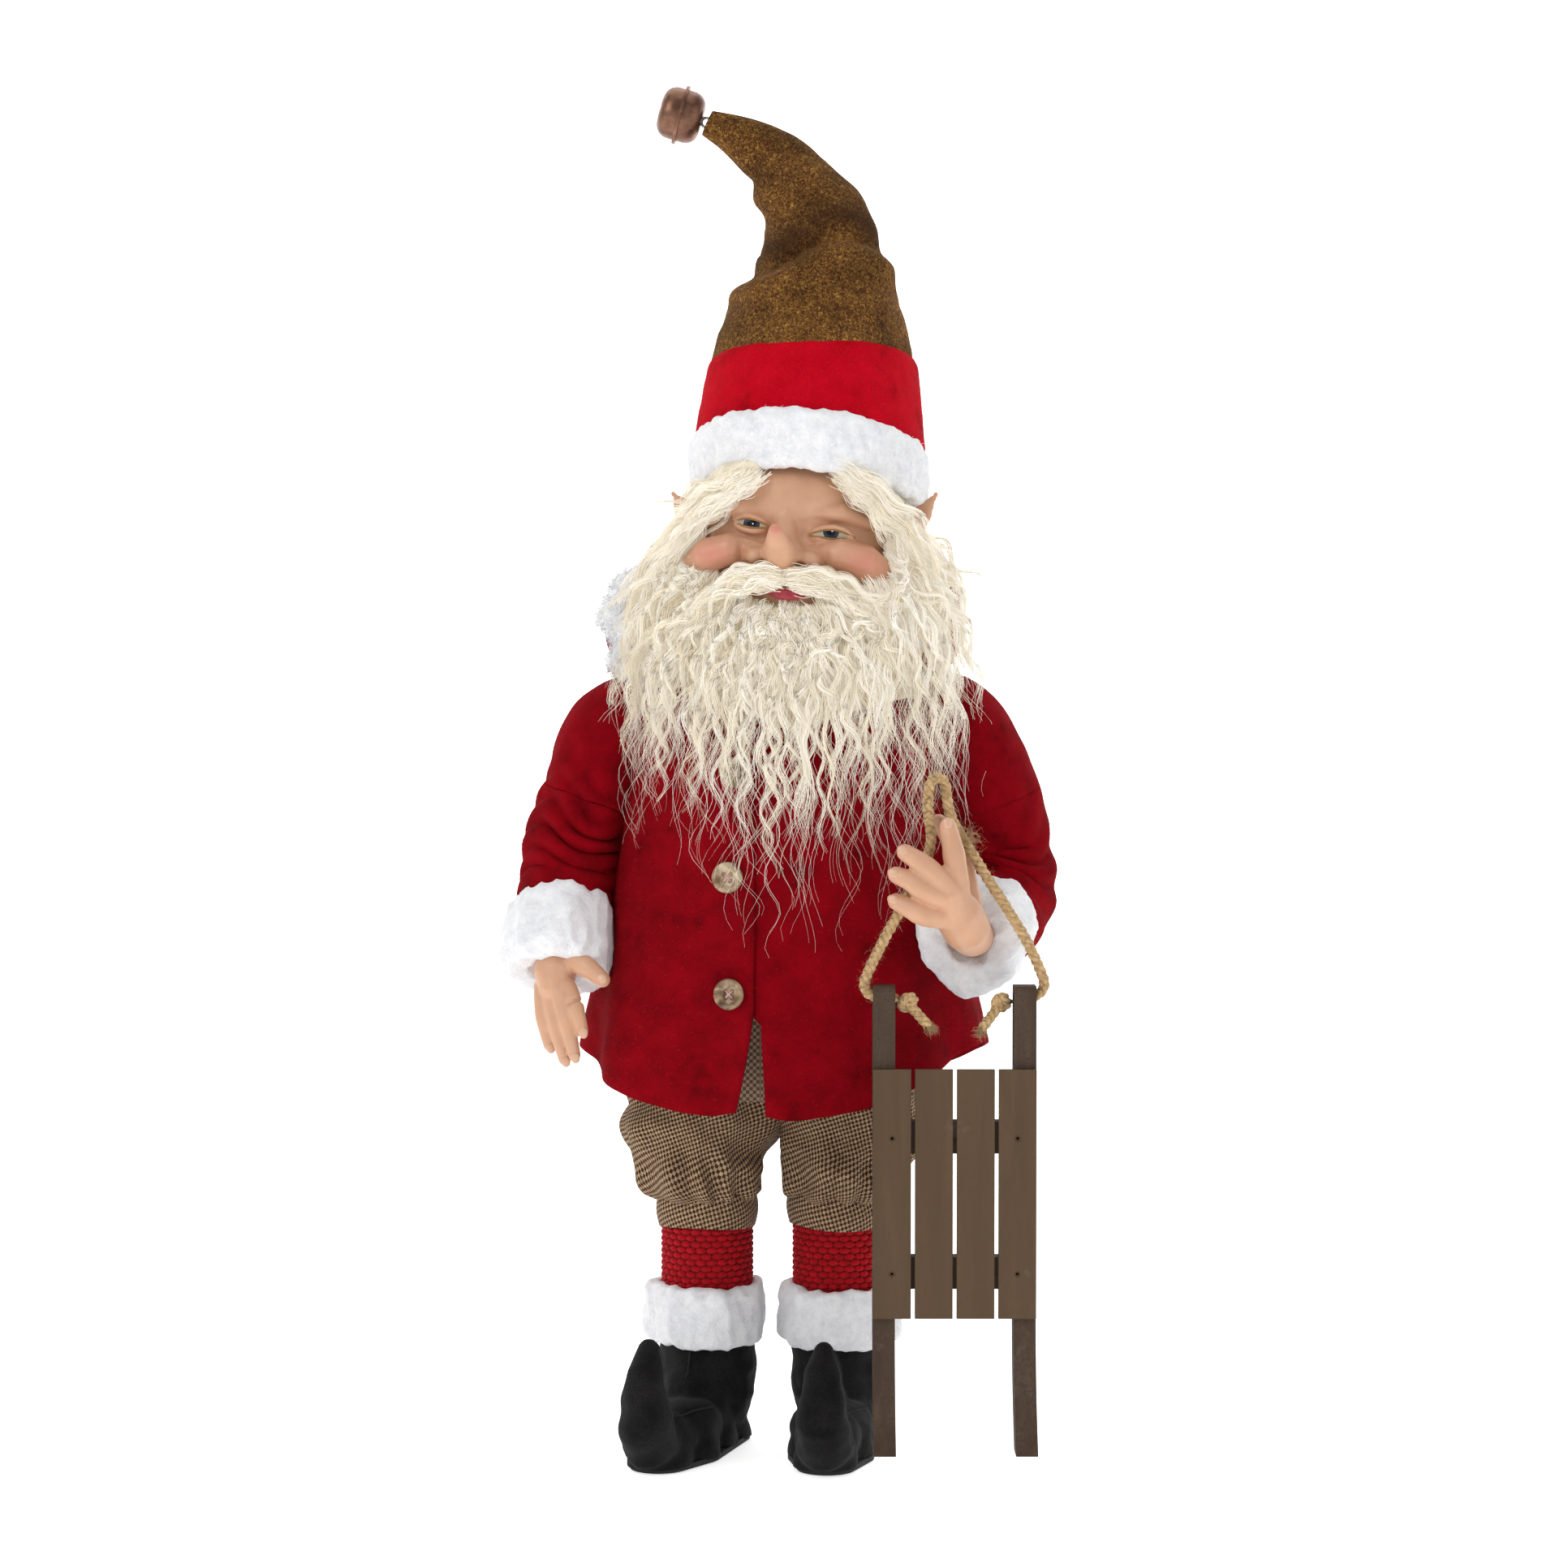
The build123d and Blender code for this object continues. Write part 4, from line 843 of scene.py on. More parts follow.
# %% Hat band and its fleece edge
BAND_ROWS, BAND_COLUMNS = 34, 150
band_points = []
for row in range(BAND_ROWS):
    rise = row / (BAND_ROWS - 1)
    for column in range(BAND_COLUMNS):
        angle = 2 * math.pi * column / BAND_COLUMNS
        lean_x, lean_y = math.cos(angle), math.sin(angle)
        low = 487.0 - 4.0 * lean_x - 12.0 * lean_y + 5.0 * max(0.0, -lean_y)
        high = 533.5 + 0.5 * lean_x - 8.0 * lean_y
        r = 55.5 - 4.8 * rise - 1.8 * max(0.0, (rise - 0.9) * 10) ** 2
        centre_x, centre_y = 12.5 + 1.5 * rise, -1.0 + 9.0 * rise
        band_points.append((centre_x + r * lean_x, centre_y + r * lean_y * 0.97, low + (high - low) * rise))
band_points = np.array(band_points)
band_out = band_points - (13.0, 3.0, 0.0)
band_out[:, 2] = 0
band_out /= np.linalg.norm(band_out, axis=1)[:, None]
band_points += band_out * (0.9 * ripple(band_points, 28.0, 7) + 0.4 * ripple(band_points, 9.0, 8))[:, None]
hat_band = new_piece("hat_band_cloth", band_points, grid_faces(BAND_ROWS, BAND_COLUMNS, True), band_felt,
                     slot="hat_band_felt", replaces=("hat_band",))
thicken(hat_band, 2.4, offset=0.0)
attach(hat_band, "head")

edge_points, edge_faces = soft_ring(((0, 0, 0), (0, 0, 1)), 49.0, 59.0, 0.8, 4.0, columns=150, corner=9)
turn = np.arctan2(edge_points[:, 1], edge_points[:, 0])
front = np.clip(-np.sin(turn), 0, 1)
edge_low = 465.0 - 5.0 * np.cos(turn) - 12.0 * np.sin(turn) - 3.0 * front + 4.0 * front**3
edge_high = 491.0 - 4.0 * np.cos(turn) - 12.0 * np.sin(turn) + 5.0 * front
edge_points[:, 2] = edge_low + (edge_high - edge_low) * edge_points[:, 2]
edge_points[:, 0] += 12.0
edge_points[:, 1] -= 2.0
fleece_piece("hat_fleece", edge_points, edge_faces, "head", 11000, 40, replaces=("hat_trim",), clump=6.5,
             depth=3.0, length=4.2, curl=1.5)
print("hat made")

# %% [markdown]
# ## Stray felt fibres
# Felt has a nap: seen edge on, it is a thin mist of hairs. A few thousand of them, a millimetre or
# two long, soften the outline of the coat, the hat and its band.

# %% Nap
def nap(name, base, count, material, seed, body, length=1.9):
    place, normal = scatter(base, count, seed)
    paths, taper = pile(place, normal, length, 0.055, 0.8, seed, count=5)
    points, faces = strands(paths, taper)
    return new_piece(name, points, faces, material, body, base.get("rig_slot"))


nap("coat_nap", coat_cloth, 7000, red_fibre, 51, "figure")
nap("hat_nap", hat_cloth, 3600, brown_fibre, 52, "head")
nap("band_nap", hat_band, 2600, red_fibre, 53, "head", 2.3)
print("nap made")

# %% [markdown]
# ## Tweed knickerbockers
# The cloth is a basket weave of brown and beige yarns. The weave is laid out on the cloth itself,
# by how far round and how far up each point is, so it follows every fold. Each leg is gathered
# into a band under the knee, which is why it pouches.

# %% Tweed finish
tweed = Finish("tweed", roughness=0.95, Sheen_Weight=0.04, Sheen_Roughness=0.6)
tweed.set("Specular IOR Level", 0.08)
cloth_place = tweed.add("ShaderNodeUVMap", uv_map="cloth").outputs["UV"]
checks = tweed.add("ShaderNodeTexChecker")
checks.inputs["Scale"].default_value = 1.0
checks.inputs["Color1"].default_value = (1.0, 1.0, 1.0, 1.0)
checks.inputs["Color2"].default_value = (0.0, 0.0, 0.0, 1.0)
tweed.link(tweed.stretched((0.78, 0.62, 1.0), (0, 0, 0.5), source=cloth_place), checks.inputs["Vector"])
yarn_noise = tweed.noise(0.8, 3, 0.7, tweed.stretched((1.0, 1.0, 1.0), source=cloth_place))
brown_yarn = tweed.ramp(yarn_noise, (0.35, (0.018, 0.009, 0.005)), (0.65, (0.06, 0.030, 0.016)))
beige_yarn = tweed.ramp(yarn_noise, (0.35, (0.20, 0.120, 0.066)), (0.65, (0.52, 0.36, 0.22)))
tweed.color(tweed.mix(checks.outputs["Fac"], brown_yarn, beige_yarn))
ribs = tweed.add("ShaderNodeTexWave", bands_direction="DIAGONAL")
ribs.inputs["Scale"].default_value = 0.9
ribs.inputs["Distortion"].default_value = 1.5
tweed.link(cloth_place, ribs.inputs["Vector"])
first_bump = tweed.bump(ribs.outputs["Fac"], 0.35, 0.0005)
tweed.bump(checks.outputs["Fac"], 0.5, 0.0005, first_bump)
tweed_cloth = tweed.material


def lay_weave(piece, rows, columns, width, height):
    """Gives a closed tube of cloth its own flat coordinates, in millimetres round and up."""
    layer = piece.data.uv_layers.new(name="cloth")
    for polygon in piece.data.polygons:
        for loop, vertex in zip(polygon.loop_indices, polygon.vertices):
            row, column = divmod(vertex, columns)
            if column == 0 and max(v % columns for v in polygon.vertices) == columns - 1:
                column = columns
            layer.data[loop].uv = (column / columns * width, row / (rows - 1) * height)


# %% [markdown]
# Each leg is a tube that bags out over the knee and is drawn in at the band. Slanting folds fade
# in above the band, and small pleats gather just over it.

# %% Trouser legs
LEG = {"left": (27.0, 33.0, 1), "right": (-38.0, -44.0, -1)}
LEG_ROWS, LEG_COLUMNS = 84, 150
for side, (knee_x, bag_x, out) in LEG.items():
    leg_points = []
    for row in range(LEG_ROWS):
        rise = row / (LEG_ROWS - 1)
        z = 111.0 + 85.0 * rise
        belly = min(1.0, max(0.0, (z - 122.0) / 26.0)) ** 0.55
        for column in range(LEG_COLUMNS):
            angle = 2 * math.pi * column / LEG_COLUMNS
            gather = 1.0 - min(1.0, max(0.0, (z - 128.0) / 38.0))
            rising = min(1.0, max(0.0, (z - 120) / 8.0))
            pleat = 2.6 * gather * rising * math.sin(angle * 11 + 1.6 * math.sin(3 * angle + 0.03 * z))
            pleat += 1.8 * (1 - gather) * math.sin(angle * 5 + z * 0.09 + knee_x)
            r = 22.6 + (33.5 - 22.6) * belly + pleat
            inward = max(0.0, -out * math.cos(angle)) ** 1.5
            r += (8.5 if side == "right" else 4.5) * inward * min(1.0, max(0.0, (z - 138) / 16.0))
            x = knee_x + (bag_x - knee_x) * min(1.0, max(0.0, (z - 120.0) / 26.0))
            droop = 5.0 * math.exp(-((z - 132.0) / 9.0) ** 2)
            leg_points.append((x + r * math.cos(angle), 0.98 * r * math.sin(angle), z - droop))
    leg_points = np.array(leg_points)
    slant = leg_points + leg_points[:, [2, 2, 0]] * (0.7, 0.2, 0.0)
    folds = 7.0 * ripple(slant, 23.0, 14 + out) + 1.4 * ripple(leg_points, 10.0, 16)
    folds *= np.clip((leg_points[:, 2] - 122) / 14, 0, 1)
    away = leg_points - (bag_x, 0, 0)
    away[:, 2] = 0
    leg_points += away / np.linalg.norm(away, axis=1)[:, None] * folds[:, None]
    leg_cloth = new_piece(f"trouser_leg_cloth_{side}", leg_points, grid_faces(LEG_ROWS, LEG_COLUMNS, True),
                          tweed_cloth, slot="tweed", replaces=(f"trouser_leg_{side}",))
    lay_weave(leg_cloth, LEG_ROWS, LEG_COLUMNS, 210.0, 92.0)
    thicken(leg_cloth, 1.4)
    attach(leg_cloth, "figure")

# %% [markdown]
# A narrow strip of the same tweed holds each gather. It is a short tube with the weave laid along
# its length, so the pattern runs round the leg.

# %% Knee bands
BAND_H = 17.0
for side, (knee_x, bag_x, out) in LEG.items():
    band_rows, band_columns = 12, 120
    knee_points = []
    for row in range(band_rows):
        rise = row / (band_rows - 1)
        for column in range(band_columns):
            angle = 2 * math.pi * column / band_columns
            puff = 1.5 * math.sin(math.pi * rise) + 0.5 * math.sin(angle * 4 + knee_x)
            r = 23.3 + puff
            knee_points.append((knee_x + r * math.cos(angle), r * math.sin(angle),
                                108.5 + BAND_H * rise + 0.8 * math.sin(2 * angle + out)))
    band_faces = grid_faces(band_rows, band_columns, True)
    knee_band = new_piece(f"trouser_band_cloth_{side}", knee_points, band_faces,
                          tweed_cloth, slot="tweed", replaces=("trouser_bands",))
    lay_weave(knee_band, band_rows, band_columns, 150.0, BAND_H)
    thicken(knee_band, 1.2, offset=0.0)
    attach(knee_band, "figure")
seat_tweed = Finish("tweed_seat", roughness=0.95)
seat_yarn = seat_tweed.add("ShaderNodeTexChecker")
seat_yarn.inputs["Scale"].default_value = 600.0
seat_yarn.inputs["Color1"].default_value = (0.30, 0.22, 0.15, 1.0)
seat_yarn.inputs["Color2"].default_value = (0.09, 0.052, 0.032, 1.0)
seat_tweed.link(seat_tweed.place, seat_yarn.inputs["Vector"])
seat_tweed.color(seat_yarn.outputs["Color"])
seat_tweed.bump(seat_tweed.noise(700, 3), 0.4, 0.0005)
tweed_plain = seat_tweed.material
print("trousers made")

# %% [markdown]
# ## Knitted socks
# A chunky knit seen close is rows of fat loops, each half a loop on from the row below, like
# scales. Each loop here is a real bead of yarn on a smooth sock, so its outline is bumpy too.

# %% Socks
knit = Finish("red_knit", roughness=0.9, Sheen_Weight=0.05)
knit.set("Specular IOR Level", 0.15)
knit.color(knit.ramp(knit.noise(300, 3), (0.3, (0.24, 0.0005, 0.003)), (0.7, (0.42, 0.001, 0.008))))
knit.bump(knit.noise(1600, 3, 0.7, knit.stretched((1, 1, 0.5))), 0.5, 0.0006)
knit_yarn = knit.material

STITCH_COLUMNS, STITCH_RISE = 26, 3.0
stitch_shape = blob((0, 0, 0), (2.8, 2.1, 1.7), detail=2)
for side, (knee_x, bag_x, out) in LEG.items():
    sock_low, sock_high, sock_r = 74.0, 113.0, 21.0
    parts = []
    for level in range(int((sock_high - sock_low) / STITCH_RISE)):
        for column in range(STITCH_COLUMNS):
            angle = 2 * math.pi * (column + 0.5 * (level % 2)) / STITCH_COLUMNS
            spin = Matrix.Rotation(angle + math.pi / 2, 3, "Z") @ Matrix.Rotation(math.radians(-24), 3, "X")
            place = (knee_x + sock_r * math.cos(angle), sock_r * math.sin(angle),
                     sock_low + level * STITCH_RISE)
            parts.append((stitch_shape[0] @ np.array(spin).T + place, stitch_shape[1]))
    sock_points, sock_faces = joined(parts)
    new_piece(f"sock_knit_{side}", sock_points, sock_faces, knit_yarn, "figure", "red_knit")
    sock_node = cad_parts[f"sock_{side}"]
    sock_node.data.materials.clear()
    sock_node.data.materials.append(knit_yarn)
print("socks made")

# %% [markdown]
# ## Suede boots
# Black suede, a soft foot with a toe that curls up in front and back over itself. The shape is
# clay first: overlapping balls and bars melted into one skin. Seams are ridges with a worn grey
# edge, and the nap makes slow cloudy patches.

# %% Boots
suede = Finish("boot_suede", roughness=0.95, Sheen_Weight=0.05, Sheen_Roughness=0.5)
suede.set("Specular IOR Level", 0.1)
clouds = suede.ramp(suede.noise(60, 4), (0.35, (0.005, 0.0045, 0.0045)), (0.7, (0.013, 0.012, 0.012)))
suede.color(suede.mix(1.0, clouds, suede.grey(suede.noise(1300, 2), 0.3, 0.7, 0.6, 1.5), "MULTIPLY"))
suede.bump(suede.noise(1100, 3, 0.7), 0.4, 0.0006)
boot_suede = suede.material
seam_grey = Finish("boot_seam", (0.022, 0.021, 0.021), 0.95).material
FOOT = {"left": (27.0, -6.0), "right": (-38.0, -20.0)}


def foot_frame(side, points):
    """Points given along a foot (x across, y back, z up) turned and placed under the leg."""
    x, yaw = FOOT[side]
    turn = np.array(Matrix.Rotation(math.radians(yaw), 3, "Z"))
    return np.asarray(points, float) @ turn.T + (x, 0, 0)


for side in ("left", "right"):
    clay = [limb([(0, 0, 24), (0, 0, 40), (0, 1, 60)], (23.5, 23.8, 24.5), 28),
            blob((0, 6, 3), (19.8, 19.8, 16)), blob((0, -17, 3), (20.4, 24, 16)),
            blob((0, -40, 3), (21.8, 22, 16)), blob((0, -62, 3), (16, 18, 15)),
            blob((0, 7, 17), (18.5, 17.5, 16.5)), blob((0, -14, 17), (18.5, 24, 16)),
            blob((0, -36, 15), (20, 26, 14.5)), blob((0, -56, 13), (16.5, 22, 12.5)),
            blob((0, -6, 30), (20, 24, 18)),
            limb([(0, -64, 12), (0, -75, 14), (0, -82, 25), (0, -83, 38), (0, -81, 50), (0, -77, 59)],
                 (14.0, 13.6, 12.6, 11.0, 8.6, 5.4), 20)]
    boot = cast(f"boot_{side}_suede", [(foot_frame(side, p), f) for p, f in clay], boot_suede, 1.3, 5,
                slot="boot_suede", replaces=(f"boot_{side}",))
    skin = points_of(boot)
    rumple = 1.5 * ripple(skin * (1, 1, 1.6), 20.0, 60) + 0.6 * ripple(skin, 8.0, 61)
    skin += normals_of(boot) * rumple[:, None]
    for height, depth in ((31.0, 1.8), (40.0, 1.2)):
        wrinkle = np.exp(-(((skin[:, 2] - height - 0.10 * (skin[:, 0] - FOOT[side][0])) / 3.2) ** 2))
        ahead = np.clip(-skin[:, 1] / 22.0, 0, 1) * np.exp(-((np.maximum(0, -skin[:, 1] - 40) / 12.0) ** 2))
        skin -= normals_of(boot) * (depth * wrinkle * ahead)[:, None]
    skin[:, 2] = np.maximum(skin[:, 2], 1.6)
    move_points(boot, skin)
    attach(boot, "figure")
    seams = [[(14, -74, 14), (14, -79, 26), (12, -81, 39), (8.5, -80, 51), (4.5, -78, 60)],
             [(-18.0, -30, 24), (-14, -44, 25.5), (-9, -56, 25.5), (-4, -66, 24)],
             [(18.0, -30, 24), (14, -44, 25.5), (9, -56, 25.5), (4, -66, 24)],
             [(0.0, -24.5, 34), (0, -24.3, 42), (0, -24.2, 50)]]
    fuzz = []
    for line in seams:
        line = smooth_line(foot_frame(side, line), 60)
        near = [boot.closest_point_on_mesh(Vector(p)) for p in to_row(line)]
        line = np.array([(*hit[1],) for hit in near]) * 1000.0 - (0, FIGURE_Y, 0)
        normal = np.array([(*hit[2],) for hit in near])
        fuzz.append(strands((line + normal * 0.2)[None], np.full((1, 60), 0.42), 6))
        hair_place, hair_normal = np.repeat(line, 3, axis=0), np.repeat(normal, 3, axis=0)
        fuzz.append(strands(*pile(hair_place, hair_normal, 1.3, 0.08, 0.7, 62, count=4)))
    seam_points, seam_faces = joined(fuzz)
    new_piece(f"boot_{side}_seams", seam_points, seam_faces, seam_grey, "figure", "boot_suede")
sole_rubber = Finish("sole_leather", roughness=0.85)
sole_rubber.color(sole_rubber.ramp(sole_rubber.noise(200), (0.3, (0.008, 0.008, 0.008)),
                                   (0.7, (0.02, 0.02, 0.02))))
sole_rubber.bump(sole_rubber.noise(900), 0.3, 0.0004)
for side in ("left", "right"):
    sole_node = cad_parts[f"sole_{side}"]
    sole_node.data.materials.clear()
    sole_node.data.materials.append(sole_rubber.material)
print("boots made")

# %% [markdown]
# ## The face
# The head is cast resin from a clay original, so it is worked here as clay: a skull, two rolls of
# cheek, a cone of a nose, brow ridges and lids, melted into one skin and then pushed in at the
# corners. Paint comes last: brown painted shade in the hollows, and blush on the cheeks and nose.

# %% Resin skin
def skin_finish(name):
    skin = Finish(name, roughness=0.42)
    skin.set("Subsurface Weight", 0.12)
    skin.set("Subsurface Radius", (0.004, 0.0018, 0.001))
    skin.set("Subsurface Scale", 0.5)
    clay = skin.ramp(skin.noise(70, 3), (0.35, (0.50, 0.275, 0.165)), (0.65, (0.56, 0.315, 0.195)))
    # Brown painted shade in the hollows, laid by the mask that the paint() calls below set.
    hollow_shaded = skin.mix(skin.attribute("painted_shade"), clay, (0.40, 0.15, 0.07))
    skin.color(skin.mix(skin.attribute("blush"), hollow_shaded, (0.52, 0.145, 0.11)))
    # The resin glows faintly in its clay colour: painted light that brightens the whole skin.
    skin.set("Emission Color", (0.56, 0.30, 0.18, 1.0))
    skin.set("Emission Strength", 0.07)
    skin.bump(skin.noise(500, 3), 0.08, 0.0006)
    return skin.material


resin_skin = skin_finish("resin_skin")

# %% [markdown]
# Balls and bars of clay are placed by the marks of a face: skull, cheeks, nose, brows, lids, ears.
# A remesh melts them together, and small pushes sink the nostrils and the corners of the eyes.

# %% The head in clay
EYES = {"right": ((-25.0, -46.5, 453.8), (-7.0, -51.5, 451.0), 2.5, 1.4, (-15.4, 452.6)),
        "left": ((34.5, -46.5, 445.8), (11.5, -52.0, 447.3), 3.1, 1.0, (22.4, 449.0))}


def lid_line(side, lift, count=40, forward=0.0):
    """The edge of a lid from the outer corner to the inner one. lift is its rise at the middle."""
    outer, inner = np.array(EYES[side][0]), np.array(EYES[side][1])
    t = np.linspace(0, 1, count)[:, None]
    arch = 1 - (2 * t - 1) ** 2
    return outer + (inner - outer) * t + arch * np.array((0, -2.6 - forward, lift))


clay = [blob((6, -6, 438), (47, 47, 56), detail=4), blob((4, -34, 414), (26, 22, 22)),
        blob((4, -22, 463), (40, 32, 27)), blob((2, -34, 446), (38, 17.5, 18)),
        limb([(-13, -54, 440), (-25, -52.5, 441), (-36, -47, 438), (-44.5, -37, 432)], (4.5, 7.6, 8.6, 6.5)),
        limb([(13, -54, 437.5), (26, -53.5, 438), (38, -49, 434), (50, -38, 427)], (4.5, 8.0, 9.4, 6.8)),
        limb([(-0.5, -50, 437), (-1.5, -60, 437.5), (-2.6, -69, 441), (-3.4, -76, 445), (-4.0, -81, 448.5)],
             (11.5, 9.6, 7.2, 5.2, 3.6), 20),
        limb([(3.0, -47, 462), (1.0, -50, 454), (-1.0, -55, 444)], (5.5, 5.0, 6.5)),
        blob((-13.6, -58.5, 437.6), (5.0, 6.5, 4.2), (0, -8, 0)),
        blob((11.8, -59.0, 435.2), (5.6, 6.5, 4.6), (0, 10, 0)),
        limb([(-8, -49, 460), (-20, -47.5, 461.5), (-34, -39.5, 458)], (2.5, 4.6, 2.5)),
        limb([(12, -50, 458), (27, -48.0, 458.5), (43, -38, 452)], (2.5, 4.8, 2.5))]
for side, (_, _, top, bottom, _) in EYES.items():
    clay.append(limb(lid_line(side, top + 1.5, 12, 0.0), [0.8, 1.2] + [1.5] * 8 + [1.2, 0.8]))
    clay.append(limb(lid_line(side, -bottom - 1.7, 12, 0.2), [0.8, 1.2] + [1.6] * 8 + [1.2, 0.8]))
ear = limb([(50, -6, 444), (60, -5, 450), (68, -5, 459), (74, -5, 468)], (8.5, 8.0, 5.0, 1.6))
ear[0][:, 1] = -17 + (ear[0][:, 1] + 5) * 0.42
other_ear = limb([(-38, 0, 452), (-45, 0, 457), (-51, 0, 464), (-54.5, 0, 469)], (8.5, 8.0, 5.0, 1.6))
other_ear[0][:, 1] *= 0.42
clay += [ear, other_ear]
face = cast("head_skin", clay, resin_skin, 1.0, 4, slot="resin_skin", replaces=("head_shell",))
shape = points_of(face)
for centre, size, move in (
    ((7.5, -60.5, 431.5), (3.6, 4.5, 2.2), (0, 3.0, 2.8)),
    ((-9.5, -60.0, 433.5), (3.2, 4.5, 2.0), (0, 2.5, 2.4)),
    ((-6, -52, 449), (4, 6, 5), (0, 2.2, 0)), ((8.5, -53, 447), (4, 6, 5), (0, 2.2, 0)),
    ((65, -21, 456), (3.5, 5, 8), (0, 3.0, 0)),
    ((-17, -57, 444), (5, 5, 2), (0, 1.2, 0)), ((17, -57, 443), (5, 5, 2), (0, 1.2, 0)),
    ((-20.5, -56, 438.5), (1.9, 7, 5.5), (0, 3.0, 0)), ((19.5, -57, 436), (2.0, 7, 5.5), (0, 3.2, 0))):
    shape = push(shape, np.array(centre), size, move)
move_points(face, shape)
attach(face, "head")
paint(face, "blush", [((-33, -52, 438), (11, 14, 6.5), 0.75), ((37, -52, 434), (13, 14, 7), 0.75),
                      ((-4, -84, 449.5), (3.6, 6, 3.4), 0.8), ((2, -60, 419), (16, 12, 5), 0.35)])
# Painted shade: brown in the nostrils, under the brows, round the eyes and under the cheeks.
paint(face, "painted_shade", [((7.5, -60, 431.5), (4.5, 5, 2.4), 1.0), ((-9.5, -60, 433.0), (4, 5, 2.2), 0.95),
                     ((-16, -50, 456.5), (12, 6, 2.4), 0.35), ((23, -50, 453.5), (14, 6, 2.4), 0.35),
                     ((-6.5, -52, 451), (4, 6, 5), 0.35), ((9.5, -53, 449), (4, 6, 5), 0.35),
                     ((-16, -52, 446.8), (15, 6, 1.7), 0.4), ((24, -52, 443.4), (17, 6, 1.7), 0.4),
                     ((-40, -44, 428.5), (12, 10, 2.4), 0.25),
                     ((44, -46, 424.0), (14, 10, 2.4), 0.25), ((17, -57, 440), (2.4, 6, 5), 0.5),
                     ((-19, -56, 441), (2.4, 6, 4.5), 0.5)])
print("head", len(face.data.polygons), "faces")

# %% [markdown]
# The eyes are painted lenses in the lids. The paint is laid by distance from the middle of the
# iris: pupil, blue-grey iris with a dark rim, then ivory. A thin golden brown line runs round.

# %% Eyes
eye_paint = Finish("eye_glass", roughness=0.2)
eye_paint.set("Specular IOR Level", 0.12)
iris = eye_paint.attribute("iris")
eye_paint.color(eye_paint.ramp(iris, (0.0, (0.005, 0.005, 0.006)), (0.25, (0.006, 0.008, 0.011)),
                               (0.30, (0.014, 0.026, 0.042)), (0.45, (0.032, 0.055, 0.085)),
                               (0.51, (0.008, 0.012, 0.020)),
                               (0.55, (0.42, 0.35, 0.26))))
lid_brown = Finish("lid_line", (0.30, 0.14, 0.035), 0.4).material
glint_white = Finish("eye_glint", (0.95, 0.95, 0.95), 0.15).material
EYE_ROWS, EYE_COLUMNS = 26, 72
lines, glints = [], []
for side, (outer, inner, top, bottom, middle) in EYES.items():
    upper, lower = lid_line(side, top, EYE_COLUMNS), lid_line(side, -bottom, EYE_COLUMNS)
    share = np.linspace(-0.25, 1.25, EYE_ROWS)[:, None, None]
    lens = lower[None] + (upper - lower)[None] * share
    lens[..., 1] += 0.5 - 0.9 * np.cos((share[..., 0] - 0.5) * 2.2)
    eye = new_piece(f"eye_{side}", lens.reshape(-1, 3), grid_faces(EYE_ROWS, EYE_COLUMNS, False),
                    eye_paint.material, slot="eye_glass", replaces=("eyes",))
    centre = np.array((middle[0], middle[1]))
    distance = np.linalg.norm(lens.reshape(-1, 3)[:, [0, 2]] - centre, axis=1) / 7.2
    eye.data.attributes.new("iris", "FLOAT", "POINT").data.foreach_set("value", distance.astype(np.float32))
    thicken(eye, 0.8, offset=0.0)
    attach(eye, "head")
    for edge in (upper, lower):
        line = edge - (0, 0.75, 0)
        lines.append(limb(line[2:-2], np.full(EYE_COLUMNS - 4, 0.46), 6))
    near = lens.reshape(-1, 3)[np.argmin(distance)]
    glints.append(blob(near + (0.5, -0.45, 0.2), (0.42, 0.25, 0.42), detail=2))
lid_points, lid_faces = joined(lines)
new_piece("lid_lines", lid_points, lid_faces, lid_brown, "head", "eye_glass")
glint_points, glint_faces = joined(glints)
new_piece("eye_glints", glint_points, glint_faces, glint_white, "head", "eye_glass")

lip_paint = Finish("lip_paint", roughness=0.5)
lip_paint.color(lip_paint.ramp(lip_paint.noise(300, 3), (0.3, (0.23, 0.012, 0.022)),
                               (0.7, (0.34, 0.028, 0.042))))
upper_lip = limb([(-9.0, -63.0, 420.2), (-4, -65.2, 420.7), (1.2, -65.6, 420.0), (6, -65.2, 420.3),
                  (12, -62.5, 419.2)], (0.6, 1.35, 1.25, 1.35, 0.6))
lower_lip = limb([(-8.0, -63, 419.6), (-3, -65.4, 418.0), (2, -65.8, 417.6), (7, -65.2, 417.9),
                  (11, -62.5, 418.9)], (0.6, 1.5, 1.9, 1.5, 0.6))
cast("lips", [upper_lip, lower_lip], lip_paint.material, 0.6, 2, body="head", slot="resin_skin")
print("eyes and lips made")

# %% [markdown]
# ## Mohair
# Real mohair is glued on in locks: fibres that share one wave and part only at the end. Every
# lock here has its own path, wave and twist, and every strand in it strays a little. A soft
# under-layer gives the mass that light cannot get through.

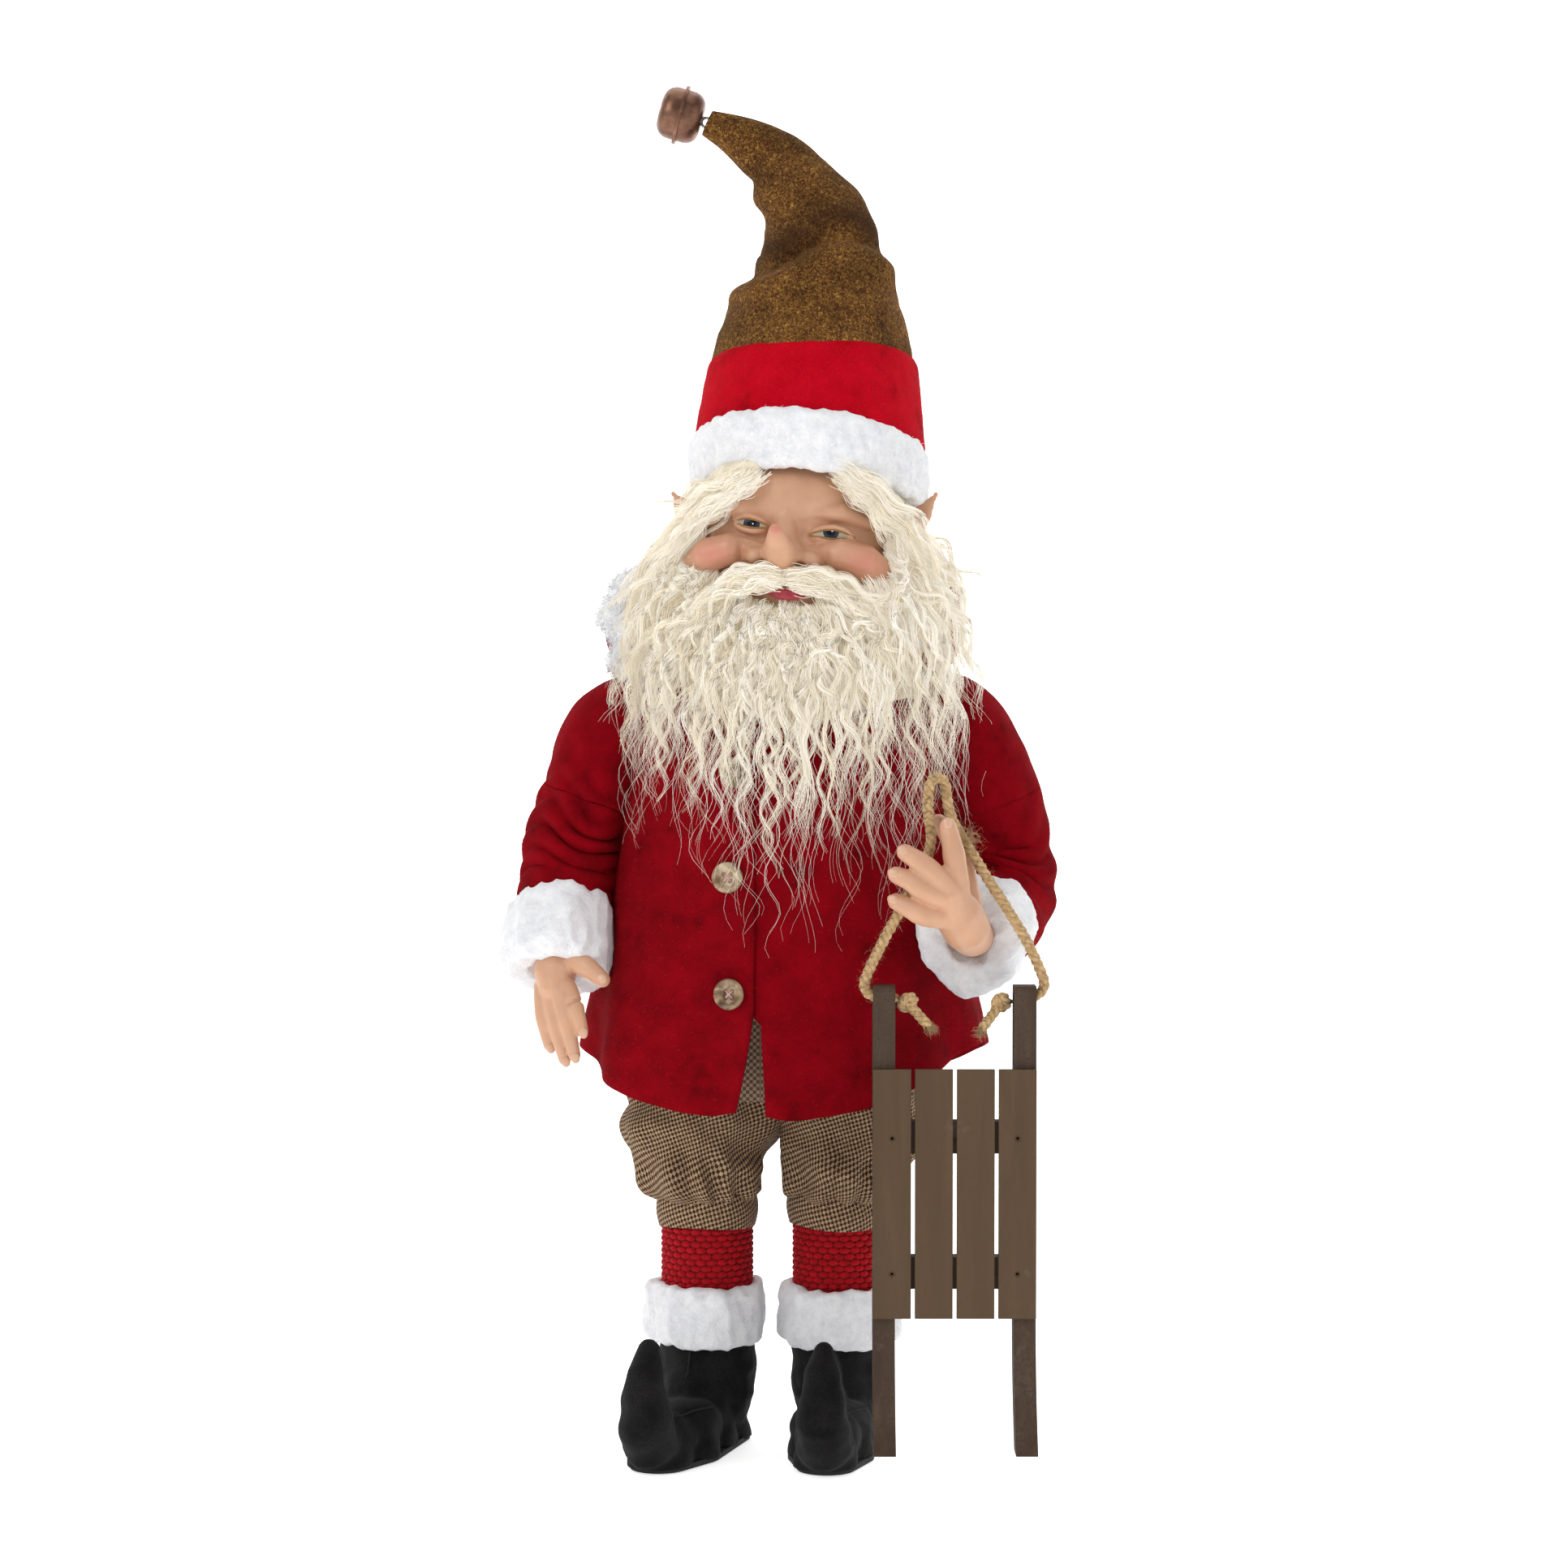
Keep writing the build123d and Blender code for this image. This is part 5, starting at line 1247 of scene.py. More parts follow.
# %% Locks
def locks(paths, strands_each, width, amplitude, wavelength, seed, radius=0.2, count=26, fray=1.0):
    """Many wavy locks. paths is (locks, 4, 3): the four handles of a smooth curve for each."""
    rng = np.random.default_rng(seed)
    n = len(paths)
    t = np.linspace(0, 1, count)
    base = np.stack([(1 - t) ** 3, 3 * t * (1 - t) ** 2, 3 * t**2 * (1 - t), t**3], axis=1)
    curve = np.einsum("kb,nbc->nkc", base, paths)
    length = np.linalg.norm(np.diff(curve, axis=1), axis=2).sum(axis=1)
    each = np.repeat(np.arange(n), strands_each)
    total = len(each)
    cut = rng.uniform(0.72, 1.0, total)[:, None] * t
    at = cut * (count - 1)
    low = np.minimum(at.astype(int), count - 2)
    part = (at - low)[..., None]
    line = curve[each[:, None], low] * (1 - part) + curve[each[:, None], low + 1] * part
    way = np.gradient(line, axis=1)
    way /= np.linalg.norm(way, axis=2, keepdims=True)
    side = np.cross(way, (0.05, -1.0, 0.1))
    side /= np.maximum(np.linalg.norm(side, axis=2, keepdims=True), 1e-6)
    up = np.cross(side, way)
    wave = rng.uniform(0.75, 1.3, n) * wavelength
    size = rng.uniform(0.4, 1.25, n) * amplitude
    phase = rng.uniform(0, 6.28, n)
    turn = (phase[each] + rng.normal(0, 0.22, total))[:, None] + 6.28 * cut * (length / wave)[each][:, None]
    grow = (0.25 + 0.75 * np.minimum(cut * 2.2, 1.0)) * size[each][:, None]
    spread = width * (1.0 - 0.55 * np.sin(np.minimum(cut, 1.0) * 2.2)) + fray * np.maximum(cut - 0.7, 0) * 7
    u, v = rng.normal(0, 0.5, (2, total, 1))
    twist = 2.0 * cut + rng.uniform(0, 6.28, n)[each][:, None]
    sideways = grow * np.sin(turn) + spread * (u * np.cos(twist) - v * np.sin(twist))
    forward = 0.6 * grow * np.cos(turn * 0.9) + spread * (u * np.sin(twist) + v * np.cos(twist))
    line = line + side * sideways[..., None] + up * forward[..., None]
    taper = radius * rng.uniform(0.7, 1.25, total)[:, None] * (1 - 0.72 * t**2)
    tone = np.clip(rng.normal(0.5, 0.16, n)[each] + rng.normal(0, 0.12, total), 0, 1)
    return line, taper, tone


def hair_piece(name, made, replaces=(), body="head"):
    line, taper, tone = made
    points, faces = strands(line, taper)
    piece = new_piece(name, points, faces, mohair, body, "mohair", replaces)
    per_strand(piece, "tone", tone, line.shape[1] * 3)
    return piece


def beard_paths(n, seed, spread=100.0, reach=1.0, start=0.0, low=(0, 60)):
    """Handles of beard locks from the jaw down the chest. spread is how far round, in degrees."""
    rng = np.random.default_rng(seed)
    psi = np.radians(rng.uniform(-spread, spread, n))
    s, c = np.sin(psi), np.cos(psi)
    root = np.stack([6 + 49 * s, -26 - 33 * c, 413 + 40 * (1 - c)], axis=1)
    root += rng.normal(0, 2.0, (n, 3)) * (1, 0.5, 1.5)
    x1 = 6 + 86 * np.sin(0.8 * psi) * reach + rng.normal(0, 4, n)
    z1 = 268 + 46 * np.abs(s) ** 1.5 + rng.uniform(*low, n)
    front = np.clip(np.cos(0.82 * psi), 0, 1)
    tip = np.stack([x1, -(70 + rng.uniform(0, 5, n)) * front - 4, z1], axis=1)
    first = root + np.stack([16 * s, -15 * c - 6, -8 - 14 * np.abs(c)], axis=1)
    second = np.stack([6 + (x1 - 6) * 0.96, -(78 + rng.uniform(0, 6, n)) * front - 4,
                       z1 * 0.62 + root[:, 2] * 0.38], axis=1)
    paths = np.stack([root, first, second, tip], axis=1)
    if start:
        drop = rng.uniform(0, start, n)[:, None, None]
        paths = paths + (paths[:, 3:4] - paths[:, :1]) * drop * np.array([1, 1, 0.7, 0.25])[None, :, None]
    clear = (np.abs(root[:, 0] - 1.5) < 13) & (root[:, 2] > 411)
    paths[clear, 0, 2] = 411.5
    return paths


# %% [markdown]
# A combed mass lies beneath, so that the locks have no gaps between them. Over it hang three layers of wavy
# locks, inner, outer and short, and last the thin stray hairs. All start from the same jaw line.

# %% Beard
mass_rows, mass_columns = 40, 90
mass = []
for row in range(mass_rows):
    fall = row / (mass_rows - 1)
    for column in range(mass_columns):
        psi = math.radians(-98 + 196 * column / (mass_columns - 1))
        s, c = math.sin(psi), math.cos(psi)
        root = np.array((6 + 47 * s, -24 - 33 * c, 414 + 40 * (1 - c)))
        foot = np.array((6 + 64 * math.sin(0.8 * psi), -64 * max(0.0, math.cos(0.82 * psi)) - 3,
                         356 + 14 * abs(s)))
        swell = 9 * math.sin(math.pi * min(1.0, fall * 1.15))
        mass.append(root + (foot - root) * fall + np.array((s, -c * 1.15, 0)) * swell)
mass = np.array(mass)
mass += np.array((0, -1.0, 0)) * (2.4 * ripple(mass * (1, 1, 0.35), 7.0, 70))[:, None]
beard_mass = new_piece("beard_mass", mass, grid_faces(mass_rows, mass_columns, False), mohair_under,
                       slot="mohair", replaces=("beard",))
thicken(beard_mass, 3.0, offset=1.0)
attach(beard_mass, "head")
hair_piece("beard_locks_inner", locks(beard_paths(150, 71, start=0.3, low=(25, 105)), 14, 3.0, 3.0, 30, 72,
                                      radius=0.24))
hair_piece("beard_locks_outer", locks(beard_paths(125, 73, start=0.12, low=(8, 110)), 16, 1.7, 3.6, 28, 74,
                                      radius=0.21))
short_paths = beard_paths(130, 75, spread=92, reach=0.78, low=(75, 130))
hair_piece("beard_locks_short", locks(short_paths, 14, 2.8, 3.4, 26, 76, radius=0.22))
wisp_paths = beard_paths(260, 77, spread=96, start=0.35, low=(-25, 70))
hair_piece("beard_wisps", locks(wisp_paths, 2, 4.0, 5.0, 44, 78, radius=0.12, fray=1.2))
print("beard made")


# %% [markdown]
# These are bundles of hair along a few guiding points each: two from under the nose, two from
# under the hat's edge, and a curtain at the sides and back that hides the neck.

# %% Moustache, brow tufts and side hair
def bundle(route, n, thick, seed):
    """Handles of n locks that run side by side along a route of four points."""
    rng = np.random.default_rng(seed)
    route = np.asarray(route, float)
    offset = rng.normal(0, 0.5, (n, 1, 3)) * np.asarray(thick, float)
    swell = np.array([0.7, 1.1, 1.2, 1.5])[None, :, None]
    slide = (route[1] - route[0]) * rng.uniform(-0.1, 0.5, (n, 1, 1)) * np.array([1, 0.6, 0.2, 0])[None, :, None]
    stray = rng.normal(0, 1.5, (n, 4, 3)) * np.array([0, 0.4, 1, 2.0])[None, :, None]
    return route[None] + offset * swell + slide + stray


under_parts = {
    "moustache": [limb([(-2, -61, 427.5), (-14, -60, 427), (-26, -57, 422), (-36, -52, 412)], (3.2, 4.6, 4.8, 3.4)),
                  limb([(2, -61, 427), (14, -61, 425.5), (28, -58, 419), (40, -53, 408)], (3.2, 4.8, 5.0, 3.4))],
    "forelocks": [limb([(-15, -51, 480), (-27, -48, 476), (-40, -41, 466), (-50, -31, 450)], (4.5, 5.8, 5.0, 3.5)),
                  limb([(25, -51, 480), (38, -49, 474), (52, -40, 462), (61, -28, 448)], (4.5, 5.8, 5.2, 3.5))],
}
for name, parts in under_parts.items():
    cast(f"{name}_mass", parts, mohair_under, 1.2, 2, body="head", slot="mohair", replaces=(name,))
moustache_paths = np.vstack([
    bundle([(-1, -64, 425.5), (-16, -69, 428.5), (-34, -65, 424), (-46, -58, 398)], 56, (4, 5, 5.5), 81),
    bundle([(2, -64, 425), (17, -70, 427), (40, -67, 420), (54, -58, 392)], 56, (4, 5, 5.5), 82)])
chin_paths = bundle([(1.5, -60, 413), (1.5, -70, 408), (3, -76, 392), (4, -80, 366)], 46, (20, 5, 3), 98)
hair_piece("chin_locks", locks(chin_paths, 14, 2.8, 2.4, 22, 99, radius=0.21))
hair_piece("moustache_locks", locks(moustache_paths, 16, 2.8, 2.3, 22, 83, radius=0.19))
tuft_paths = np.vstack([
    bundle([(-13, -52, 478), (-28, -60, 469), (-47, -50, 459), (-63, -32, 432)], 44, (9, 4, 6), 84),
    bundle([(26, -53, 478), (41, -61, 467), (59, -48, 452), (71, -34, 426)], 44, (9, 4, 6), 85)])
hair_piece("brow_tufts", locks(tuft_paths, 14, 3.4, 2.4, 24, 86, radius=0.16, fray=1.6))

ring_rows, ring_columns = 26, 90
wig_points = []
for row in range(ring_rows):
    fall = row / (ring_rows - 1)
    for column in range(ring_columns):
        psi = math.radians(72 + 216 * column / (ring_columns - 1))
        r = 49 + 13 * math.sin(fall * 1.7)
        wig_points.append((6 + r * math.sin(psi), -6 - r * math.cos(psi), 474 - 82 * fall))
wig_points = np.array(wig_points)
combed = 2.0 * ripple(wig_points * (1, 1, 0.35), 7.0, 87)
wig_points += (wig_points - (6, -6, 430)) * (1, 1, 0) / 55.0 * combed[:, None]
wig_mass = new_piece("wig_mass", wig_points, grid_faces(ring_rows, ring_columns, False), mohair_under,
                     slot="mohair", replaces=("wig",))
thicken(wig_mass, 3.0, offset=1.0)
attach(wig_mass, "head")
rng = np.random.default_rng(88)
psi = np.radians(rng.uniform(66, 294, 230))
s, c = np.sin(psi), np.cos(psi)
out, drop = rng.uniform(60, 68, 230), rng.uniform(376, 402, 230)
side_paths = np.stack([np.stack([6 + r * s, -6 - r * c, z], axis=1) for r, z in (
    (50, rng.uniform(452, 474, 230)), (62, np.full(230, 446.0)), (out + 3, np.full(230, 414.0)), (out + 4, drop))], axis=1)
hair_piece("wig_locks", locks(side_paths, 14, 3.0, 2.6, 26, 89, radius=0.22))
print("hair made")

# %% [markdown]
# ## Hands
# Cast resin like the head. The left hand is open, palm to its own side, with the rope held
# between thumb and first finger. The right hand hangs with its thumb turned out. Every finger is
# a bar with a little bend, melted into the palm, with a pressed nail.

# %% Hands
HANDS = {
    "left": dict(palm=[(92, -66, 257), (88.5, -84, 258), (85, -96, 263), (80, -106, 271), (77.5, -110, 279)],
                 palm_r=(9.5, 10.0, 11.5, 11.0, 8.0),
                 fingers=[((81, -109, 283), (79.5, -110, 293), (78, -110, 302), (76, -108, 311)),
                          ((77, -112, 282), (70, -113.5, 288.5), (63, -113, 294.5), (56, -111, 299)),
                          ((74.5, -112, 277), (66, -113.5, 281), (59, -112.5, 285.5), (52, -110, 288.5)),
                          ((74, -110, 269), (66, -111.5, 269.5), (58.5, -110.5, 273), (52, -108, 276))],
                 thumb=[(87, -99, 272), (85.5, -92, 284), (82.5, -89, 298), (72.5, -89.5, 312)], nail=(0, -1, 0.1)),
    "right": dict(palm=[(-110, -32, 252), (-110, -37, 244), (-110.5, -42, 236), (-110.5, -45, 230)],
                  palm_r=(9.5, 10.0, 10.5, 8.0),
                  fingers=[((-104, -49, 230), (-101, -54, 224), (-98.5, -57.5, 217), (-96.5, -58, 210)),
                           ((-108, -49, 228), (-105, -53.5, 217), (-102.5, -55.5, 207), (-100.5, -55, 198)),
                           ((-112.5, -45, 227), (-110.5, -48.5, 216), (-108, -50, 205), (-105.5, -49.5, 195.5)),
                           ((-116.5, -40, 230), (-116.5, -43, 220), (-115, -44.5, 210), (-113, -44, 201.5))],
                  thumb=[(-106, -41, 243), (-99.5, -47, 242), (-93, -52, 239), (-87, -55, 234.5)],
                  nail=(0.1, -1, 0.15)),
}
nail_paint = Finish("nail_paint", (0.60, 0.36, 0.24), 0.3).material
for side, hand in HANDS.items():
    clay = [limb(hand["palm"], hand["palm_r"], 20)]
    nails, webs = [], []
    fingers = [(finger, (5.5, 5.3, 4.9, 4.1)) for finger in hand["fingers"]]
    if side == "right":
        fingers = [(finger, (4.6, 4.2, 3.7, 3.1)) for finger in hand["fingers"]]
    for finger, radii in fingers + [(hand["thumb"], (6.0, 5.3, 5.0, 4.0))]:
        smooth = smooth_line(finger, 12)
        reach = np.interp(np.linspace(0, 1, 12), np.linspace(0, 1, 4), radii)
        reach = reach + 0.35 * np.exp(-((np.linspace(0, 1, 12) - 0.52) / 0.10) ** 2)
        clay.append(limb(smooth, reach, 16))
        tip_way = (smooth[-1] - smooth[-3]) / np.linalg.norm(smooth[-1] - smooth[-3])
        out = np.array(hand["nail"], float)
        out -= tip_way * out.dot(tip_way)
        out /= np.linalg.norm(out)
        across = np.cross(out, tip_way)
        ball, ball_faces = blob((0, 0, 0), (2.3, 2.9, 0.7), detail=2)
        ball = ball @ np.array([across, tip_way, out]) + smooth[-1] + tip_way * 0.6 + out * (radii[-1] - 0.32)
        nails.append((ball, ball_faces))
        webs.append(smooth[1])
    for knuckle in hand["fingers"]:
        clay.append(limb([hand["palm"][-2], knuckle[0]], (8.5, 5.3) if side == "left" else (6.0, 4.4)))
    piece = cast(f"hand_{side}_skin", clay, resin_skin, 0.8, 3, slot="resin_skin", replaces=(f"hand_{side}",))
    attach(piece, f"forearm_{side}")
    # Painted shade between the fingers and at the root of the thumb.
    web_shade_spots = [((a + b) / 2, (2.6, 4, 3.4), 0.7) for a, b in zip(webs[:4], webs[1:4])]
    paint(piece, "painted_shade", web_shade_spots + [(webs[4], (4, 5, 4), 0.25)])
    paint(piece, "blush", [(np.array(finger[-1]), (4.5, 4.5, 4.5), 0.12) for finger in hand["fingers"]])
    nail_points, nail_faces = joined(nails)
    new_piece(f"hand_{side}_nails", nail_points, nail_faces, nail_paint, f"forearm_{side}", "resin_skin")
print("hands made")

# %% [markdown]
# ## The hood
# A felt hood lies folded down behind the neck, open upwards, lined with the same fleece, with its
# red edge showing. It is a crescent: full at the back and nothing at the front.

# %% Hood
def hood_profile(profile, columns=110, seed=90, swell=1.2):
    rows = smooth_line(np.array([(r, 0, z) for r, z in profile]), 26)
    points = []
    for r, _, z in rows:
        for j in range(columns):
            angle = math.radians(-34 + 248 * j / (columns - 1))
            end = min(1.0, (j / (columns - 1)) * 5.0, (1 - j / (columns - 1)) * 5.0)
            full = math.sin(end * math.pi / 2) ** 0.8
            reach = 55 + (r - 55) * full
            points.append((reach * math.cos(angle), 5 + reach * 0.88 * math.sin(angle),
                           384 + (z - 384) * full))
    points = np.array(points)
    wave = ripple(points, 22.0, seed)
    away = points * (1, 1, 0) / np.linalg.norm(points * (1, 1, 0), axis=1)[:, None]
    return points + away * (swell * wave)[:, None], grid_faces(26, columns, False)


hood_points, hood_faces = hood_profile([(56, 384), (70, 380), (82, 384), (89, 397), (89, 412), (85, 424),
                                        (80, 428)])
hood_cloth = new_piece("hood_cloth", hood_points, hood_faces, coat_felt, slot="coat_felt",
                       replaces=("hood_shell",))
thicken(hood_cloth, 2.0, offset=0.0)
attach(hood_cloth, "figure")
lining_points, lining_faces = hood_profile([(81, 430), (85, 425), (85.5, 417), (82, 405), (74, 393), (66, 387),
                                            (60, 387)], seed=91)
fleece_piece("hood_fleece", lining_points, lining_faces, "figure", 6000, 92, replaces=("hood_lining",))
turn_out = cast("hood_turn_out", [limb([(-62, -14, 428), (-76, -6, 422), (-83, 0, 406), (-80, -4, 388), (-66, -14, 379)],
                                        (7.0, 9.5, 10.0, 9.5, 7.0)), blob((-68, -6, 404), (16, 9, 20))],
                fleece_cloth, 1.4, 3, body="figure", slot="white_fleece")
skin = points_of(turn_out)
move_points(turn_out, skin + normals_of(turn_out) * (3.0 * (0.55 - clumps(skin, 7.5, 94)))[:, None])
place, normal = scatter(turn_out, 3000, 94)
pile_points, pile_faces = strands(*pile(place, normal, 4.0, 0.2, 1.3, 94))
new_piece("hood_turn_out_pile", pile_points, pile_faces, pile_fibre, "figure", "white_fleece")
nap("hood_nap", hood_cloth, 2200, red_fibre, 93, "figure")
print("hood made")

# %% [markdown]
# ## Buttons
# Horn buttons: a raised rim, a shallow well and four holes, marbled cream and brown, sewn with
# red thread that crosses in the middle. They sit on the felt wherever the felt is.

# %% Buttons
horn = Finish("horn_button", roughness=0.3)
marble = horn.noise(75, 3, 0.5, distortion=1.6)
horn_tone = horn.ramp(marble, (0.34, (0.07, 0.035, 0.016)), (0.48, (0.20, 0.115, 0.055)), (0.60, (0.42, 0.30, 0.17)),
                      (0.72, (0.66, 0.54, 0.36)))
horn.color(horn_tone)
horn.set("Subsurface Weight", 0.15)
horn.set("Subsurface Scale", 0.3)
button_thread = Finish("button_thread", (0.55, 0.32, 0.30), 0.8).material
BUTTONS = [(-22.5, 334.0), (-26.5, 284.0), (-25.5, 229.0)]
holes = [(1.7, 1.7), (-1.7, 1.7), (1.7, -1.7), (-1.7, -1.7)]
button_parts, thread_parts = [], []
for x, z in BUTTONS:
    hit, place, normal, _ = coat_cloth.ray_cast(Vector(to_row((x, -130.0, z))), Vector((0, 1, 0)))
    place = np.array(place) * 1000.0 - (0, FIGURE_Y, 0)
    out = np.array(normal)
    out /= np.linalg.norm(out)
    across = np.cross((0, 0, 1.0), out)
    across /= np.linalg.norm(across)
    up = np.cross(out, across)
    profile = [(0.05, 1.9), (1.0, 1.9), (2.0, 1.95), (3.2, 2.1), (4.2, 2.4), (5.0, 3.1), (5.7, 3.6), (6.4, 3.7),
               (7.0, 3.4), (7.4, 2.8), (7.5, 2.1), (7.3, 1.5), (6.5, 1.0), (4.0, 0.8), (0.05, 0.8)]
    line = smooth_line(np.array([(r, 0, h) for r, h in profile]), 80)
    ring_points = []
    for r, _, h in line:
        for j in range(96):
            angle = 2 * math.pi * j / 96
            a, b = r * math.cos(angle), r * math.sin(angle)
            sink = 0.0
            if h > 1.2 and r < 4.0:
                nearest = min(math.hypot(a - ha, b - hb) for ha, hb in holes)
                sink = 1.0 * min(1.0, max(0.0, (1.05 - nearest) / 0.25))
            ring_points.append(place + across * a + up * b + out * (h - sink + 0.5))
    button_parts.append((np.array(ring_points), grid_faces(80, 96, True)))
    for (ax, bx), (ay, by) in (((1.7, -1.7), (1.7, -1.7)), ((1.7, -1.7), (-1.7, 1.7))):
        for shift in (-0.25, 0.25):
            t = np.linspace(0, 1, 9)
            path = [place + across * (ax + (bx - ax) * u + shift) + up * (ay + (by - ay) * u)
                    + out * (1.9 + 0.9 * math.sin(math.pi * u)) for u in t]
            thread_parts.append(strands(np.array([path]), np.full((1, 9), 0.24), 6))
button_points, button_faces = joined(button_parts)
new_piece("coat_button_set", button_points, button_faces, horn.material, "figure", "horn_button",
          ("coat_buttons",))
thread_points, thread_faces = joined(thread_parts)
new_piece("button_threads", thread_points, thread_faces, button_thread, "figure", "horn_button")
print("buttons made")

# %% [markdown]
# ## Wood, wire, foam and metal
# These pieces keep the CAD model's own shapes. The sled's paint is a thin taupe wash, smoother on
# the slats and worn to dark specks on the runners. The bell is pressed copper, dulled where it has
# been handled.

# %% Painted sled
def sled_finish(name, dark, middle, light, speck, wear):
    wood = Finish(name, roughness=0.75)
    wood.set("Specular IOR Level", 0.2)
    grain = wood.noise(90, 4, 0.6, wood.stretched((1.0, 1.0, 0.10)), distortion=0.6)
    base = wood.ramp(grain, (0.3, dark), (0.5, middle), (0.7, light))
    specks = wood.grey(wood.noise(620, 3, 0.8), speck, speck + 0.07)
    worn = wood.grey(wood.noise(26, 4, 0.7), wear, wear + 0.15)
    dusted = wood.mix(wood.math("MULTIPLY", specks, 0.75), base, (0.045, 0.033, 0.027))
    wood.color(wood.mix(wood.math("MULTIPLY", worn, 0.35), dusted, (0.28, 0.24, 0.20)))
    lines = wood.bump(wood.noise(300, 3, 0.6, wood.stretched((1.0, 1.0, 0.08))), 0.25, 0.0005)
    wood.bump(wood.noise(900, 3, 0.7), 0.3, 0.0003, lines)
    return wood.material


runner_paint = sled_finish("sled_runner_paint", (0.046, 0.027, 0.016), (0.064, 0.039, 0.024),
                           (0.088, 0.056, 0.037), 0.50, 0.60)
slat_paint = sled_finish("sled_slat_paint", (0.080, 0.048, 0.026), (0.088, 0.054, 0.030),
                         (0.097, 0.060, 0.034), 0.66, 0.68)

copper = Finish("bell_copper", roughness=0.34, Metallic=0.9)
tarnish = copper.noise(90, 4, 0.6)
copper.color(copper.ramp(tarnish, (0.3, (0.10, 0.045, 0.03)), (0.5, (0.19, 0.095, 0.062)),
                         (0.7, (0.29, 0.16, 0.11))))
copper.roughness(copper.grey(copper.noise(300, 3), 0.3, 0.7, 0.28, 0.5))
copper.bump(copper.noise(500, 3), 0.1, 0.0004)
steel = Finish("steel_wire", (0.42, 0.41, 0.40), 0.35, Metallic=1.0)
steel.roughness(steel.grey(steel.noise(600, 3), 0.3, 0.7, 0.28, 0.55))
plain = Finish("plain_wood", roughness=0.7)
plain.color(plain.ramp(plain.noise(60, 4, 0.6, plain.stretched((1.0, 1.0, 0.12)), distortion=1.0),
                       (0.35, (0.42, 0.27, 0.14)), (0.65, (0.68, 0.50, 0.31))))
plain.bump(plain.noise(260, 3, 0.6, plain.stretched((1.0, 1.0, 0.1))), 0.25, 0.0005)
stuffing = Finish("foam", roughness=1.0)
stuffing.color(stuffing.ramp(stuffing.noise(400, 3), (0.35, (0.70, 0.66, 0.52)), (0.65, (0.86, 0.83, 0.70))))
stuffing.bump(stuffing.cells(700), 0.5, 0.0008)

KEPT = {
    runner_paint: ("runner_left", "runner_right", "crossbars"), slat_paint: ("slats", "slat_nails"),
    copper.material: ("bell_inner_half", "bell_outer_half"),
    steel.material: ("bell_loop", "bell_pellet", "leg_rods"),
    plain.material: ("foot_blocks", "hip_block", "spine_dowel", "shoulder_yoke", "neck_plug"),
    stuffing.material: ("leg_pads", "torso_form"),
    tweed_plain: ("trouser_seat",),
}
for material, names in KEPT.items():
    for name in names:
        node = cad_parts[name]
        node.data.materials.clear()
        node.data.materials.append(material)
print("kept CAD pieces painted:", sum(len(names) for names in KEPT.values()))

# %% [markdown]
# ## The jute rope
# One rope, three strands laid together, runs from a knot behind one runner's tip, over the hand
# and back to the other runner. The strands and their stray hairs follow the same centre line that
# the CAD rope does.

# %% Rope
jute = Finish("jute", roughness=0.9, Sheen_Weight=0.2)
jute.color(jute.ramp(jute.noise(420, 4, 0.7), (0.3, (0.26, 0.15, 0.06)), (0.5, (0.48, 0.31, 0.14)),
                     (0.72, (0.66, 0.48, 0.26))))
jute.bump(jute.noise(1500, 3, 0.7), 0.5, 0.0005)
ROPE = [(52.8, -98, 229.5), (34.4, -98, 229.5), (42, -98, 249), (57, -98, 276), (69.8, -98, 300), (67, -100.5, 318),
        (67.4, -101.6, 333), (75.4, -95, 333.6), (76.6, -97, 316), (84.5, -98, 303), (95, -98, 286), (107.5, -98, 267),
        (117.5, -98, 249.5), (124.6, -98, 229.5), (106.4, -98, 229.5)]
rope_curve = bpy.data.curves.new("rope_line", "CURVE")
rope_curve.dimensions = "3D"
spline = rope_curve.splines.new("NURBS")
spline.points.add(len(ROPE) - 1)
for point, place in zip(spline.points, to_row(ROPE)):
    point.co = (*place, 1.0)
spline.order_u, spline.use_endpoint_u, spline.resolution_u = 3, True, 24
rope_object = bpy.data.objects.new("rope_line", rope_curve)
scene.collection.objects.link(rope_object)
bpy.context.view_layer.update()
rope_mesh = bpy.data.meshes.new_from_object(rope_object)
rope_line = np.array([v.co for v in rope_mesh.vertices]) * 1000.0 - (0, FIGURE_Y, 0)
bpy.data.meshes.remove(rope_mesh)
bpy.data.objects.remove(rope_object)
rope_line = smooth_line(rope_line[::6], 520)
ROPE_D = 4.5


def twisted(line, diameter, pitch, seed, plies=3):
    """The plies of a laid rope along a line."""
    way, side, up = line_frames(line, (0.0, 1.0, 0.05))
    along = np.concatenate([[0], np.cumsum(np.linalg.norm(np.diff(line, axis=0), axis=1))])
    parts = []
    for ply in range(plies):
        turn = 2 * np.pi * (along / pitch + ply / plies)
        offset = 0.29 * diameter * (1 + 0.08 * np.sin(along * 0.9 + ply + seed))
        path = line + side * (np.cos(turn) * offset)[:, None] + up * (np.sin(turn) * offset)[:, None]
        parts.append(strands(path[None], np.full((1, len(line)), 0.30 * diameter), 9))
    return parts


